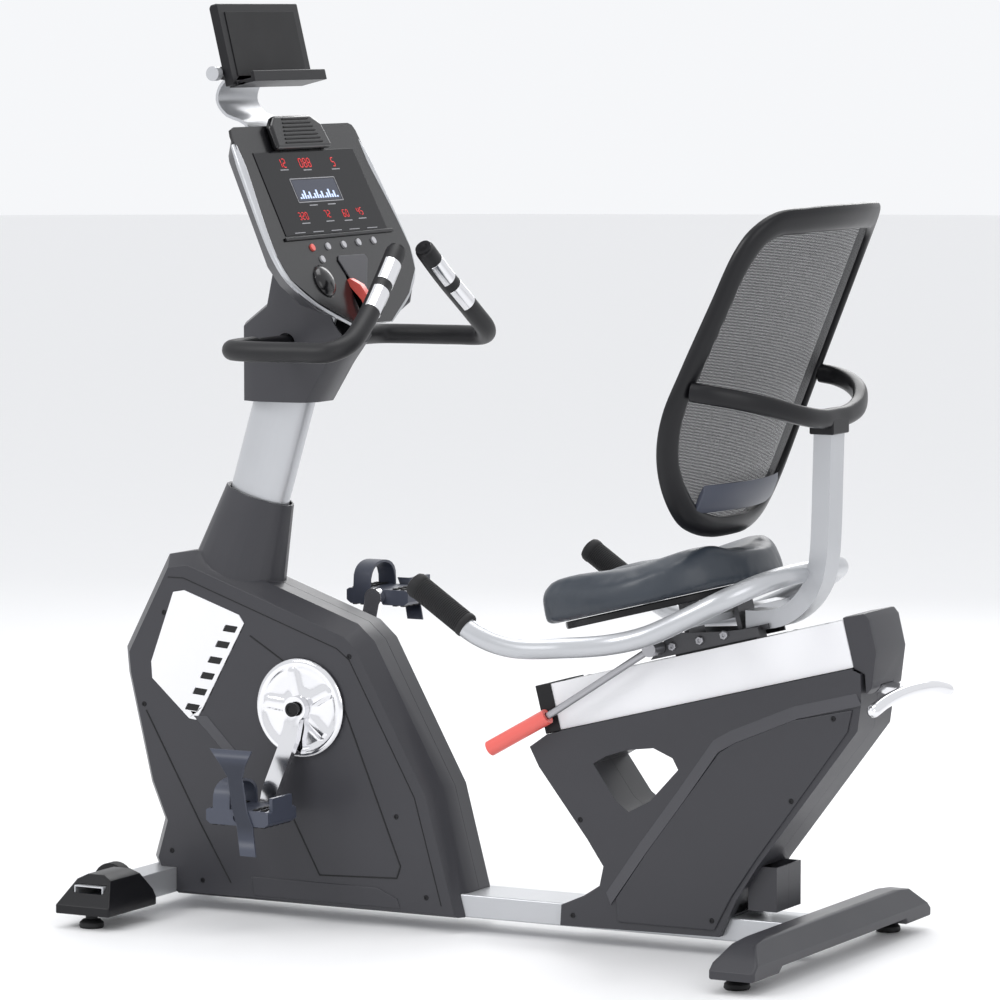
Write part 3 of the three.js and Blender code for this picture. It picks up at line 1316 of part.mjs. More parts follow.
// Half of the handlebar, from its left tip to the middle of the cross.
const BAR_PATH = [
  [FRONT_X + 445, -44, 1117], [FRONT_X + 453, -104, 1066], [FRONT_X + 463, -186, 1004],
  [FRONT_X + 461, -234, 973],
  [FRONT_X + 441, -BAR_HALF_SPAN, 961], [FRONT_X + 385, -BAR_HALF_SPAN - 3, BAR_Z + 1],
  [BAR_X + 56, -BAR_HALF_SPAN - 3, BAR_Z], [BAR_X + 12, -BAR_HALF_SPAN + 12, BAR_Z],
  [BAR_X - 2, -BAR_HALF_SPAN + 56, BAR_Z], [BAR_X, -100, BAR_Z], [BAR_X, 0, BAR_Z],
];

add('neck_cover', neckCover(), 'charcoal');
add('handlebar', bentRod(mirrored(BAR_PATH), BAR_RADIUS, 48, 12), 'black');

// ---------------------------------------------------------------- tablet holder

const TRAY_HINGE_X = FRONT_X + 159;
const TRAY_HINGE_Z = 1402;
const STRAP_HALF = 64;
const STRAP_THICKNESS = 5;

const STRAP_LINE = [
  consolePoint(CONSOLE_HEIGHT - 60, -CONSOLE_THICKNESS - GAP - STRAP_THICKNESS / 2 - 0.1),
  consolePoint(CONSOLE_HEIGHT - 24, -CONSOLE_THICKNESS - GAP - STRAP_THICKNESS / 2 - 0.1),
  [FRONT_X + 171, 1318], [FRONT_X + 133, 1334], [FRONT_X + 117, 1356], [FRONT_X + 123, 1380],
  [TRAY_HINGE_X - 14, 1398], [TRAY_HINGE_X, TRAY_HINGE_Z],
];

function trayBracket() {
  const strap = sidePlate(stripOutline(STRAP_LINE, STRAP_THICKNESS, 24), -STRAP_HALF, STRAP_HALF);
  const barrel = rodY(TRAY_HINGE_X, TRAY_HINGE_Z, 7, -STRAP_HALF, STRAP_HALF, 16);
  const pin = rodY(TRAY_HINGE_X, TRAY_HINGE_Z, 4, -TRAY_WIDTH / 2 - 6, TRAY_WIDTH / 2 + 2, 16);
  const knob = rodY(TRAY_HINGE_X, TRAY_HINGE_Z, 12, -TRAY_WIDTH / 2 - 18, -TRAY_WIDTH / 2 - 4, 20);
  const console = consolePlate(consoleOutline(-1), -CONSOLE_THICKNESS - GAP, 1);
  return join(cut(strap, console), barrel, pin, knob);
}

// A point of the tray: up its back and out of it.
function trayPoint(up, out) {
  const s = Math.sin(TRAY_LEAN);
  const c = Math.cos(TRAY_LEAN);
  return [TRAY_X - s * up + c * out, TRAY_Z + c * up + s * out];
}

function tabletTray() {
  const w = TRAY_WIDTH / 2;
  const plate = sidePlate([
    trayPoint(0, -TRAY_THICKNESS), trayPoint(0, 0), trayPoint(TRAY_HEIGHT, 0),
    trayPoint(TRAY_HEIGHT, -TRAY_THICKNESS + 4), trayPoint(TRAY_HEIGHT - 5, -TRAY_THICKNESS),
  ], -w, w);
  const ledge = sidePlate([
    trayPoint(-2, -TRAY_THICKNESS), trayPoint(-2, 34), trayPoint(16, 34), trayPoint(16, 29),
    trayPoint(5.5, 27), trayPoint(6, -TRAY_THICKNESS),
  ], -w + 12, w - 12);
  const lugs = SIDES.map(([, side]) => {
    const y0 = Math.min(side * (w - 20), side * (w - 28));
    return sidePlate([
      [TRAY_HINGE_X - 10, TRAY_HINGE_Z - 10], trayPoint(4, -2), trayPoint(36, -2),
      [TRAY_HINGE_X - 10, TRAY_HINGE_Z + 10],
    ], y0, y0 + 8);
  });
  return cut(join(plate, ledge, ...lugs),
    rodY(TRAY_HINGE_X, TRAY_HINGE_Z, 4 + RUN / 2, -w - 1, w + 1, 16));
}

add('tray_bracket', trayBracket(), 'steel');
add('tablet_tray', tabletTray(), 'black');

// ---------------------------------------------------------------- place the bike

const bounds = new THREE.Box3().setFromObject(everything);
const middle = bounds.getCenter(new THREE.Vector3());
everything.position.set(-middle.x, -middle.y, -bounds.min.z);

export default everything;
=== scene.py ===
"""The looks of a recumbent exercise bike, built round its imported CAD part.

Every place is given in millimetres in the CAD's own drawing frame, and at() turns it into metres in the
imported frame. X = 0 is the line of the rear feet, the rider faces -X, +Y is the rider's right, and the floor
is Z = 0.
"""

import math

import bmesh
import bpy
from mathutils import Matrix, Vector


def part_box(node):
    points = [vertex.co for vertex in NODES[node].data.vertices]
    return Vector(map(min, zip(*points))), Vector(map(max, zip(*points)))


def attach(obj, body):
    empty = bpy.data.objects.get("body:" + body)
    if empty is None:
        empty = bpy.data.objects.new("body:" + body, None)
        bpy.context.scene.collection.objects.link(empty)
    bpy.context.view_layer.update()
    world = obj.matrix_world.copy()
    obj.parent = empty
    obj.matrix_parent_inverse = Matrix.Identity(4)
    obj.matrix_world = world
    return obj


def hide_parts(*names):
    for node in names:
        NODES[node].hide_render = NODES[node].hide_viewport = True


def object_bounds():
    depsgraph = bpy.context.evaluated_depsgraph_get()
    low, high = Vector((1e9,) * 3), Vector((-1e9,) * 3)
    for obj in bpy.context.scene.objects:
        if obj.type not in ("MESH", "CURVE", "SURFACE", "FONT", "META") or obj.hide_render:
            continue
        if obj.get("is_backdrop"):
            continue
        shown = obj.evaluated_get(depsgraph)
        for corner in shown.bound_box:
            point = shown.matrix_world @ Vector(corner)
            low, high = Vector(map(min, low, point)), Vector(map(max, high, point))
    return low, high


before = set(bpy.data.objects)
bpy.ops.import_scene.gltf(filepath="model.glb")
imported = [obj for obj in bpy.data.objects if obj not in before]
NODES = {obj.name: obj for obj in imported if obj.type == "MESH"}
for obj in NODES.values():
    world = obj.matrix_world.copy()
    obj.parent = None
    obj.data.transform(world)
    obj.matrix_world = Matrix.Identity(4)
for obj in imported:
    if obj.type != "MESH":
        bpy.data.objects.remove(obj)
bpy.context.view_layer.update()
SCENE = bpy.context.scene

MM = 0.001
ORIGIN_X = sum(corner[0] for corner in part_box("left_rear_foot")) / 2
SIDES = (("left", -1), ("right", 1))

# Driving sizes that the CAD shares, in millimetres.
SLOPE = math.atan(0.2545)             # the seat rail's climb
SLOPE_Z = 535
CRANK = (-903, 356)                   # X and Z of the crank's axis
CONSOLE_LOW = (-800, 993)             # X and Z of the lower edge of the console's face
CONSOLE_TOP = (-957, 1316)
SHROUD_Y = 68                         # the shroud's flat side
COVER_Y = 64                          # the rear cover's flat side


def at(x, y, z):
    return Vector((x * MM + ORIGIN_X, y * MM, z * MM))


def slope(u, a):
    """X and Z of a point u along the seat rail and a above its slope line."""
    x = u * math.cos(SLOPE) - a * math.sin(SLOPE)
    z = SLOPE_Z + u * math.sin(SLOPE) + a * math.cos(SLOPE)
    return (x, z)


# ---------------------------------------------------------------- materials

PATCH_SCALE = 14.0                    # how many patches of slightly different colour there are to a metre
GLOSS_SPREAD = 0.12                   # the share of its roughness that a patch gains or loses
COAT_ROUGHNESS = 0.12
RELIEF_DEPTH = 0.4 * MM


def surface(name, color, roughness, metallic=0.0, mottle=0.06, grain=1400.0, bump=0.12, coat=0.0, shine=0.5):
    """A principled surface whose colour, gloss and height vary a little from place to place."""
    material = bpy.data.materials.new(name)
    material.use_nodes = True
    nodes = material.node_tree.nodes
    links = material.node_tree.links
    shader = nodes["Principled BSDF"]
    shader.inputs["Metallic"].default_value = metallic
    shader.inputs["Coat Weight"].default_value = coat
    shader.inputs["Specular IOR Level"].default_value = shine
    shader.inputs["Coat Roughness"].default_value = COAT_ROUGHNESS
    where = nodes.new("ShaderNodeTexCoord")
    patches = nodes.new("ShaderNodeTexNoise")
    patches.inputs["Scale"].default_value = PATCH_SCALE
    patches.inputs["Detail"].default_value = 4.0
    links.new(where.outputs["Object"], patches.inputs["Vector"])
    tint = nodes.new("ShaderNodeMix")
    tint.data_type = "RGBA"
    tint.inputs["A"].default_value = [c * (1 - mottle) for c in color] + [1]
    tint.inputs["B"].default_value = [min(1, c * (1 + mottle)) for c in color] + [1]
    links.new(patches.outputs["Fac"], tint.inputs["Factor"])
    links.new(tint.outputs["Result"], shader.inputs["Base Color"])
    gloss = nodes.new("ShaderNodeMapRange")
    gloss.inputs["To Min"].default_value = max(0.02, roughness * (1 - GLOSS_SPREAD))
    gloss.inputs["To Max"].default_value = min(1.0, roughness * (1 + GLOSS_SPREAD))
    links.new(patches.outputs["Fac"], gloss.inputs["Value"])
    links.new(gloss.outputs["Result"], shader.inputs["Roughness"])
    fine = nodes.new("ShaderNodeTexNoise")
    fine.inputs["Scale"].default_value = grain
    fine.inputs["Detail"].default_value = 2.0
    links.new(where.outputs["Object"], fine.inputs["Vector"])
    relief = nodes.new("ShaderNodeBump")
    relief.inputs["Strength"].default_value = bump
    relief.inputs["Distance"].default_value = RELIEF_DEPTH
    links.new(fine.outputs["Fac"], relief.inputs["Height"])
    links.new(relief.outputs["Normal"], shader.inputs["Normal"])
    return material


def glow(name, color, strength):
    """A lit segment of a display."""
    material = surface(name, [c * 0.5 for c in color], 0.4)
    shader = material.node_tree.nodes["Principled BSDF"]
    shader.inputs["Emission Color"].default_value = list(color) + [1]
    shader.inputs["Emission Strength"].default_value = strength
    return material


def weave(name, color, pitch, thread):
    """An open mesh cloth: two sets of threads of this share of the pitch, with air between them."""
    material = surface(name, color, 0.62, mottle=0.1, grain=2500.0)
    nodes = material.node_tree.nodes
    links = material.node_tree.links
    shader = nodes["Principled BSDF"]
    where = nodes.new("ShaderNodeUVMap")
    split = nodes.new("ShaderNodeSeparateXYZ")
    links.new(where.outputs["UV"], split.inputs["Vector"])
    threads = []
    for axis in ("X", "Y"):
        scaled = nodes.new("ShaderNodeMath")
        scaled.operation = "MULTIPLY"
        scaled.inputs[1].default_value = 1 / pitch
        links.new(split.outputs[axis], scaled.inputs[0])
        phase = nodes.new("ShaderNodeMath")
        phase.operation = "FRACT"
        links.new(scaled.outputs[0], phase.inputs[0])
        solid = nodes.new("ShaderNodeMath")
        solid.operation = "LESS_THAN"
        solid.inputs[1].default_value = thread
        links.new(phase.outputs[0], solid.inputs[0])
        threads.append(solid)
    either = nodes.new("ShaderNodeMath")
    either.operation = "MAXIMUM"
    links.new(threads[0].outputs[0], either.inputs[0])
    links.new(threads[1].outputs[0], either.inputs[1])
    links.new(either.outputs[0], shader.inputs["Alpha"])
    return material


CHARCOAL = surface("charcoal_plastic", (0.036, 0.036, 0.042), 0.42, coat=0.05, shine=0.4)
# A lighter copy of the charcoal: painted highlight on the shroud's bevel strip and the rear covers' ridge,
# where those chamfers catch the light. It also colours the stop lever's bezel.
PANEL_AND_BEVEL_HIGHLIGHT = surface("panel_plastic_and_bevel_highlight", (0.062, 0.062, 0.070), 0.46, shine=0.4)
BLACK = surface("black_plastic", (0.006, 0.006, 0.0075), 0.36, shine=0.3)
GLOSS_BLACK = surface("gloss_black_plastic", (0.005, 0.005, 0.006), 0.2, coat=0.25, shine=0.4)
# Near-black for the drawn seam lines and the fan slats; on the shroud's vent slots it is painted shade,
# standing for the shade inside the openings.
SEAM_BLACK_AND_SLOT_SHADE = surface("seam_black_and_slot_shade", (0.006, 0.006, 0.007), 0.7)
WHITE = surface("white_plastic", (0.80, 0.80, 0.82), 0.2, mottle=0.02, bump=0.04, coat=0.4)
SILVER = surface("silver_paint", (0.50, 0.51, 0.53), 0.3, metallic=0.55, mottle=0.03, grain=3200.0, bump=0.06)
STEEL = surface("dark_steel", (0.085, 0.085, 0.09), 0.4, metallic=0.8, mottle=0.15)
ZINC = surface("zinc_plate", (0.40, 0.40, 0.42), 0.32, metallic=0.9, mottle=0.1)
IRON = surface("cast_iron", (0.10, 0.10, 0.105), 0.5, metallic=0.8, mottle=0.2, grain=700.0, bump=0.3)
CHROME = surface("chrome", (0.80, 0.80, 0.82), 0.12, metallic=1.0, mottle=0.03, grain=60.0, bump=0.12)
RUBBER = surface("rubber", (0.009, 0.009, 0.010), 0.62, grain=900.0, bump=0.3, shine=0.35)
FOAM = surface("foam_sleeve", (0.008, 0.008, 0.0095), 0.5, grain=1100.0, bump=0.3, shine=0.4)
CORAL = surface("coral_plastic", (0.74, 0.115, 0.095), 0.3, mottle=0.04, coat=0.3)
KEY = surface("key_plastic", (0.42, 0.42, 0.44), 0.3, mottle=0.03, coat=0.3)
LEATHER = surface("synthetic_leather", (0.026, 0.034, 0.046), 0.42,
                  mottle=0.1, grain=650.0, bump=0.3, coat=0.08)
PIPING = surface("piping", (0.012, 0.014, 0.018), 0.5, grain=800.0)
SLATE = surface("slate_plastic", (0.050, 0.057, 0.082), 0.42)
SCREEN = surface("screen_glass", (0.003, 0.003, 0.0045), 0.12, mottle=0.02, grain=20.0, bump=0.01, shine=0.25)
LCD = surface("lcd_glass", (0.030, 0.036, 0.060), 0.2, mottle=0.03, bump=0.01)
MESH = weave("stretched_mesh", (0.012, 0.0125, 0.014), 2.6, 0.6)
LED_RED = glow("led_red", (0.62, 0.012, 0.016), 0.7)
LED_PALE = glow("led_pale", (0.55, 0.66, 0.95), 0.9)
PALE_PRINT = surface("pale_print", (0.28, 0.28, 0.30), 0.5)

NODE_LOOKS = {
    "base_beam": SILVER, "front_stabiliser": SILVER, "rear_stabiliser": CHARCOAL, "drive_frame": STEEL,
    "neck_tube": SILVER, "flywheel": IRON, "drive_belt": RUBBER, "crank_axle": STEEL, "drive_pulley": BLACK,
    "seat_rail": STEEL, "rail_cover": WHITE, "rail_front_cap": BLACK, "rail_rear_cap": CHARCOAL,
    "carriage_frame": STEEL, "seat_pan": BLACK, "rear_post": STEEL, "back_post": SILVER, "lever_rod": ZINC,
    "lever_grip": CORAL, "console_housing": CHARCOAL, "console_face": GLOSS_BLACK, "console_key_1": CORAL,
    "stop_lever": CORAL, "neck_cover": CHARCOAL, "tray_bracket": SILVER, "tablet_tray": BLACK,
}
for number in range(2, 7):
    NODE_LOOKS[f"console_key_{number}"] = KEY
for side, _ in SIDES:
    NODE_LOOKS.update({
        f"{side}_front_cap": BLACK, f"{side}_front_foot": RUBBER, f"{side}_rear_foot": RUBBER,
        f"{side}_transport_wheel": RUBBER, f"{side}_crank_arm": CHROME, f"{side}_pedal": SLATE,
        f"{side}_shroud": CHARCOAL, f"{side}_vent_panel": WHITE, f"{side}_rear_cover": CHARCOAL,
    })
EDGE_RADIUS = {                       # how far a node's edges are rounded, where it isn't the usual millimetre
    "rail_cover": 5, "rail_rear_cap": 6, "rear_stabiliser": 5, "base_beam": 5, "front_stabiliser": 5,
    "left_shroud": 7, "right_shroud": 7, "left_rear_cover": 6, "right_rear_cover": 6, "neck_cover": 6,
    "console_housing": 3, "left_front_cap": 5, "right_front_cap": 5, "rail_front_cap": 3, "tablet_tray": 3,
    "seat_pan": 4, "back_post": 3,
}
USUAL_EDGE = 1.0
SMOOTH_ANGLE = math.radians(34)
BEVEL_ANGLE = math.radians(38)
BEVEL_SEGMENTS = 3
WELD_DISTANCE = 0.02 * MM


def rounding_group():
    """Geometry nodes that weld a shape's seams and shade it smooth, but for its sharp edges."""
    group = bpy.data.node_groups.new("weld_and_smooth", "GeometryNodeTree")
    group.interface.new_socket("Geometry", in_out="INPUT", socket_type="NodeSocketGeometry")
    group.interface.new_socket("Geometry", in_out="OUTPUT", socket_type="NodeSocketGeometry")
    nodes = group.nodes
    links = group.links
    start = nodes.new("NodeGroupInput")
    weld = nodes.new("GeometryNodeMergeByDistance")
    weld.inputs["Distance"].default_value = WELD_DISTANCE
    faces = nodes.new("GeometryNodeSetShadeSmooth")
    edges = nodes.new("GeometryNodeSetShadeSmooth")
    edges.domain = "EDGE"
    edges.inputs["Shade Smooth"].default_value = False
    angle = nodes.new("GeometryNodeInputMeshEdgeAngle")
    sharp = nodes.new("FunctionNodeCompare")
    sharp.operation = "GREATER_THAN"
    sharp.inputs["B"].default_value = SMOOTH_ANGLE
    end = nodes.new("NodeGroupOutput")
    links.new(start.outputs[0], weld.inputs["Geometry"])
    links.new(weld.outputs["Geometry"], faces.inputs["Geometry"])
    links.new(faces.outputs["Geometry"], edges.inputs["Geometry"])
    links.new(angle.outputs["Unsigned Angle"], sharp.inputs["A"])
    links.new(sharp.outputs["Result"], edges.inputs["Selection"])
    links.new(edges.outputs["Geometry"], end.inputs[0])
    return group


ROUNDING = rounding_group()


def soften(obj, radius):
    """Rounds the sharp edges of a piece by this many millimetres, and shades the rest of it smooth."""
    weld = obj.modifiers.new("weld", "NODES")
    weld.node_group = ROUNDING
    if radius > 0:
        bevel = obj.modifiers.new("bevel", "BEVEL")
        bevel.width = radius * MM
        bevel.segments = BEVEL_SEGMENTS
        bevel.limit_method = "ANGLE"
        bevel.angle_limit = BEVEL_ANGLE
        bevel.harden_normals = True


for node, look in NODE_LOOKS.items():
    NODES[node].data.materials.clear()
    NODES[node].data.materials.append(look)
    soften(NODES[node], EDGE_RADIUS.get(node, USUAL_EDGE))


# ---------------------------------------------------------------- shapes

def running_lengths(points):
    """How far along a path each of its points lies."""
    lengths = [0.0]
    for a, b in zip(points, points[1:]):
        lengths.append(lengths[-1] + (b - a).length)
    return lengths


def heading(points, i):
    """The direction of an open path at one of its points."""
    before = points[max(0, i - 1)]
    after = points[min(len(points) - 1, i + 1)]
    return (after - before).normalized()


def circle(centre, across, other, radius, sides):
    """Points round a circle that lies in the plane of two directions."""
    ring = []
    for k in range(sides):
        t = 2 * math.pi * k / sides
        ring.append(tuple(centre + (across * math.cos(t) + other * math.sin(t)) * radius))
    return ring


class Shape:
    """Vertices in millimetres and faces, gathered from several simple forms into one piece."""

    def __init__(self):
        self.verts = []
        self.faces = []

    def add(self, verts, faces):
        first = len(self.verts)
        self.verts.extend(verts)
        self.faces.extend([first + i for i in face] for face in faces)
        return self

    def loft(self, rings, loop=False):
        """Skins rings of points that all have the same count. An open run of rings gets two end caps."""
        count = len(rings[0])
        total = len(rings)
        faces = []
        for r in range(total if loop else total - 1):
            a = r * count
            b = (r + 1) % total * count
            for i in range(count):
                j = (i + 1) % count
                faces.append((a + i, a + j, b + j, b + i))
        if not loop:
            faces.append(tuple(reversed(range(count))))
            faces.append(tuple(range((total - 1) * count, total * count)))
        return self.add([p for ring in rings for p in ring], faces)

    def prism(self, outline, y0, y1):
        """A plate whose outline lies in the XZ plane, between two values of Y."""
        return self.loft([[(x, y0, z) for x, z in outline], [(x, y1, z) for x, z in outline]])

    def lathe(self, centre, axis, profile, sides=24):
        """Turns (radius, height) pairs round an axis through centre."""
        c = Vector(centre)
        n = Vector(axis).normalized()
        p = n.orthogonal().normalized()
        q = n.cross(p)
        return self.loft([circle(c + n * height, p, q, radius, sides) for radius, height in profile])

    def tube(self, path, radius, sides):
        """A round tube along a path. radius is a number, or a function of the share of the path's length."""
        points = [Vector(p) for p in path]
        lengths = running_lengths(points)
        normal = None
        rings = []
        for i, point in enumerate(points):
            along = heading(points, i)
            normal = along.orthogonal() if normal is None else normal - along * normal.dot(along)
            normal.normalize()
            other = along.cross(normal)
            r = radius(lengths[i] / lengths[-1]) if callable(radius) else radius
            rings.append(circle(point, normal, other, r, sides))
        return self.loft(rings)

    def piece(self, name, look, body, slot, edge, replaces=()):
        """Makes the gathered shape a piece that moves with one body. Its edges are rounded by `edge`."""
        mesh = bpy.data.meshes.new(name)
        mesh.from_pydata([at(*v) for v in self.verts], [], self.faces)
        work = bmesh.new()
        work.from_mesh(mesh)
        bmesh.ops.recalc_face_normals(work, faces=work.faces)
        work.to_mesh(mesh)
        work.free()
        mesh.materials.append(look)
        obj = bpy.data.objects.new(name, mesh)
        SCENE.collection.objects.link(obj)
        soften(obj, edge)
        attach(obj, body)
        if replaces:
            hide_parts(*replaces)
        return obj


def curve(points, step=6.0, loop=False):
    """Centripetal Catmull-Rom points through the given ones, about one step apart."""
    pts = [Vector(p) for p in points]
    if loop:
        pts = [pts[-1]] + pts + [pts[0], pts[1]]
    else:
        pts = [pts[0] * 2 - pts[1]] + pts + [pts[-1] * 2 - pts[-2]]
    out = []
    for p0, p1, p2, p3 in zip(pts, pts[1:], pts[2:], pts[3:]):
        t0 = 0.0
        t1 = t0 + (p1 - p0).length ** 0.5
        t2 = t1 + (p2 - p1).length ** 0.5
        t3 = t2 + (p3 - p2).length ** 0.5
        count = max(1, round((p2 - p1).length / step))
        for i in range(count):
            t = t1 + (t2 - t1) * i / count
            a1 = p0.lerp(p1, (t - t0) / (t1 - t0))
            a2 = p1.lerp(p2, (t - t1) / (t2 - t1))
            a3 = p2.lerp(p3, (t - t2) / (t3 - t2))
            b1 = a1.lerp(a2, (t - t0) / (t2 - t0))
            b2 = a2.lerp(a3, (t - t1) / (t3 - t1))
            out.append(b1.lerp(b2, (t - t1) / (t2 - t1)))
    if not loop:
        out.append(pts[-2])
    return out


def mirrored(half):
    """A whole path from its left half, which ends on the middle plane."""
    return half + [(x, -y, z) for x, y, z in reversed(half[:-1])]


def on_side(point, sign):
    """A point of a left half, on the side that this sign stands for."""
    x, y, z = point
    return Vector((x, -sign * y, z))


def part_of(path, start, end):
    """The stretch of a dense path between two shares of its length."""
    points = [Vector(p) for p in path]
    lengths = running_lengths(points)
    total = lengths[-1]
    return [p for p, s in zip(points, lengths) if start * total <= s <= end * total]


def rounded_end(radius, blend):
    """A tube radius that closes in to half over the last share of the length at both ends."""
    def at_share(share):
        near = min(share, 1 - share) / blend
        return radius * math.sqrt(max(0.0, 1 - (1 - min(1.0, near)) ** 2) * 0.75 + 0.25)
    return at_share


# Turned heads, as (radius, height above the surface) pairs.
SCREW_HEAD = ((0.1, -1.0), (4.4, -1.0), (4.4, 0.6), (3.6, 1.5), (1.9, 1.5), (1.7, 0.5), (0.1, 0.5))
BOLT_HEAD = ((0.1, -1.0), (7.5, -1.0), (7.5, 3.6), (6.4, 4.8), (3.0, 4.8), (2.8, 2.4), (0.1, 2.4))


# ---------------------------------------------------------------- tubes and bars

# The left half of the seat's handle, from the tip of its grip back and round to the middle behind the seat.
HANDLE_HALF = [
    (-556, -305, 602), (-502, -305, 563), (-442, -304, 525), (-396, -284, 508),
    (-330, -238, 506), (-262, -212, 512), (-200, -207, 528), (-126, -206, 562),
    (-72, -196, 590), (-34, -158, 611), (-20, -100, 619), (-19, 0, 620),
]
HANDLE_RADIUS = 16.5
HANDLE_CROSS = [(-157, 542), (-135, 542), (-135, 554), (-157, 554)]
HANDLE_CROSS_HALF = 199
handle = Shape().tube(curve(mirrored(HANDLE_HALF)), HANDLE_RADIUS, 28)
handle.prism(HANDLE_CROSS, -HANDLE_CROSS_HALF, HANDLE_CROSS_HALF)
handle.piece("seat_handle_tube", SILVER, "seat", "silver", 1.2, ("seat_handle",))

# The grip's profile, as (radius, height from the handle's tip) pairs.
GRIP_END = [(0.5, -7), (13, -7), (18, -4.5), (20.5, 0), (21, 6), (20.4, 10)]
GRIP_RIB = [(19.2, 0), (20.1, 0.7), (20.1, 2.2), (19.2, 2.9)]
GRIP_COLLAR = [(20.6, 103), (20.6, 109), (19, 112), (16.8, 112)]
GRIP_RIBS = 26
GRIP_RIBS_FROM = 12
GRIP_RIB_PITCH = 3.4
for side, sign in SIDES:
    tip = on_side(HANDLE_HALF[0], sign)
    along = (on_side(HANDLE_HALF[2], sign) - tip).normalized()
    profile = list(GRIP_END)
    for rib in range(GRIP_RIBS):
        foot = GRIP_RIBS_FROM + rib * GRIP_RIB_PITCH
        profile += [(radius, foot + height) for radius, height in GRIP_RIB]
    grip = Shape().lathe(tip, along, profile + GRIP_COLLAR, 32)
    grip.piece(f"{side}_seat_grip_sleeve", RUBBER, "seat", "rubber", 0, (f"{side}_seat_grip",))

LIFT = curve(mirrored([(163, -154, 424), (163, -92, 436), (163, 0, 441)]))
LIFT_RADIUS = 10.5
LIFT_TONGUE = [(166, 444), (162, 432), (97, 438), (103, 454)]
LIFT_TONGUE_HALF = 23
lift = Shape().tube(LIFT, rounded_end(LIFT_RADIUS, 0.03), 20)
lift.prism(LIFT_TONGUE, -LIFT_TONGUE_HALF, LIFT_TONGUE_HALF)
lift.piece("lift_handle_bar", CHROME, "frame", "chrome", 2, ("lift_handle",))

BAR_HALF = [(-734, -44, 1117), (-726, -104, 1066), (-716, -186, 1004), (-718, -234, 973), (-738, -261, 961),
            (-794, -264, 959), (-880, -264, 958), (-924, -249, 958), (-938, -205, 958), (-936, -100, 958),
            (-936, 0, 958)]
BAR = curve(mirrored(BAR_HALF))
BAR_RADIUS = 14
FOAM_RADIUS = 16.8
PLATE_RADII = (17.6, 16.2)            # the outer and inner radius of a pulse plate
PLATE_ANGLES = [math.radians(-88 + 16 * k) for k in range(12)]
RIDER_SIDE = Vector((1, 0, 0.25))
SLEEVE = (0.0, 0.40)                  # the foam's start and end, as shares of the bar's length from its end
PULSE_PLATES = ((0.022, 0.062), (0.070, 0.110))


def pulse_plate(shape, points):
    """A half-round plate that wraps the rider's side of a bar: its section is part of a ring."""
    outer, inner = PLATE_RADII
    rings = []
    for i, point in enumerate(points):
        along = heading(points, i)
        front = RIDER_SIDE - along * along.dot(RIDER_SIDE)
        front.normalize()
        other = along.cross(front)
        ring = [point + (front * math.cos(t) + other * math.sin(t)) * outer for t in PLATE_ANGLES]
        ring += [point + (front * math.cos(t) + other * math.sin(t)) * inner for t in reversed(PLATE_ANGLES)]
        rings.append([tuple(p) for p in ring])
    shape.loft(rings)


def bar_run(side, start, end):
    """The stretch of the handlebar between two shares of its length from this side's end."""
    return part_of(BAR, start, end) if side == "left" else part_of(BAR, 1 - end, 1 - start)


bar = Shape().tube(BAR, BAR_RADIUS, 24)
bar.piece("handlebar_tube", BLACK, "frame", "bar_black", 0, ("handlebar",))
for side, _ in SIDES:
    foam = Shape().tube(bar_run(side, *SLEEVE), rounded_end(FOAM_RADIUS, 0.015), 28)
    foam.piece(f"{side}_bar_foam", FOAM, "frame", "bar_black", 0)
    plates = Shape()
    for start, end in PULSE_PLATES:
        pulse_plate(plates, bar_run(side, start, end))
    plates.piece(f"{side}_pulse_plates", CHROME, "frame", "chrome", 0.4)

YOKE = curve(mirrored([(-105, -242, 918), (-76, -238, 914), (-40, -214, 906), (-4, -170, 893),
                       (20, -110, 877), (28, -50, 868), (28, 0, 867)]))
YOKE_FOOT = [(-1, 841), (41, 841), (41, 867), (-1, 867)]
YOKE_FOOT_HALF = 31
UPRIGHT = Vector((0, 0, 1))


def band(points, section):
    """Sweeps a section, given as (across, up) pairs, along a path without letting it roll."""
    rings = []
    for i, point in enumerate(points):
        along = heading(points, i)
        across = along.cross(UPRIGHT).normalized()
        top = across.cross(along)
        rings.append([tuple(point + across * a + top * b) for a, b in section])
    return Shape().loft(rings)


def squircle(half_a, half_b, power, count=24):
    """A rounded box section: (a, b) pairs."""
    out = []
    for i in range(count):
        t = 2 * math.pi * (i + 0.5) / count
        c = math.cos(t)
        s = math.sin(t)
        a = half_a * math.copysign(abs(c) ** (2 / power), c)
        b = half_b * math.copysign(abs(s) ** (2 / power), s)
        out.append((a, b))
    return out


yoke = band(YOKE, squircle(12.5, 15.5, 2.8))
yoke.prism(YOKE_FOOT, -YOKE_FOOT_HALF, YOKE_FOOT_HALF)
yoke.piece("yoke_band", BLACK, "seat", "black", 2.5, ("lumbar_yoke",))

# ---------------------------------------------------------------- backrest

BACK_EDGE = [(0, 672), (76, 676), (142, 698), (200, 750), (240, 816), (256, 880), (253, 952), (243, 1062),
             (236, 1136), (222, 1170), (190, 1195), (120, 1202)]
BACK_TOP = (0, 1204)
BACK_X = -105                         # X of its sides at BACK_LEVEL
BACK_LEVEL = 972
BACK_LEAN = 0.4                       # how far it goes back for each unit of height
BACK_HALF = 256
BACK_BOW = 66                         # how far the middle of the mesh lies behind its sides
BACK_TOP_BAND = 42                    # the band's width along the top, at the sides and along the bottom
BACK_SIDE_BAND = 25
BACK_LOW_BAND = 34
TOP_BAND_FROM = 1090                  # Z above which it starts to widen
LOW_BAND_FROM = 790                   # Z below which it starts to widen
BAND_CHANGE = 100                     # the height over which it widens
MESH_TUCK = 5                         # how far the cloth runs in under the band


def back_x(y, z, out=0.0):
    """X of the backrest's middle surface, or of a place this far behind it."""
    return BACK_X + BACK_LEAN * (z - BACK_LEVEL) + BACK_BOW * (1 - (y / BACK_HALF) ** 2) + out


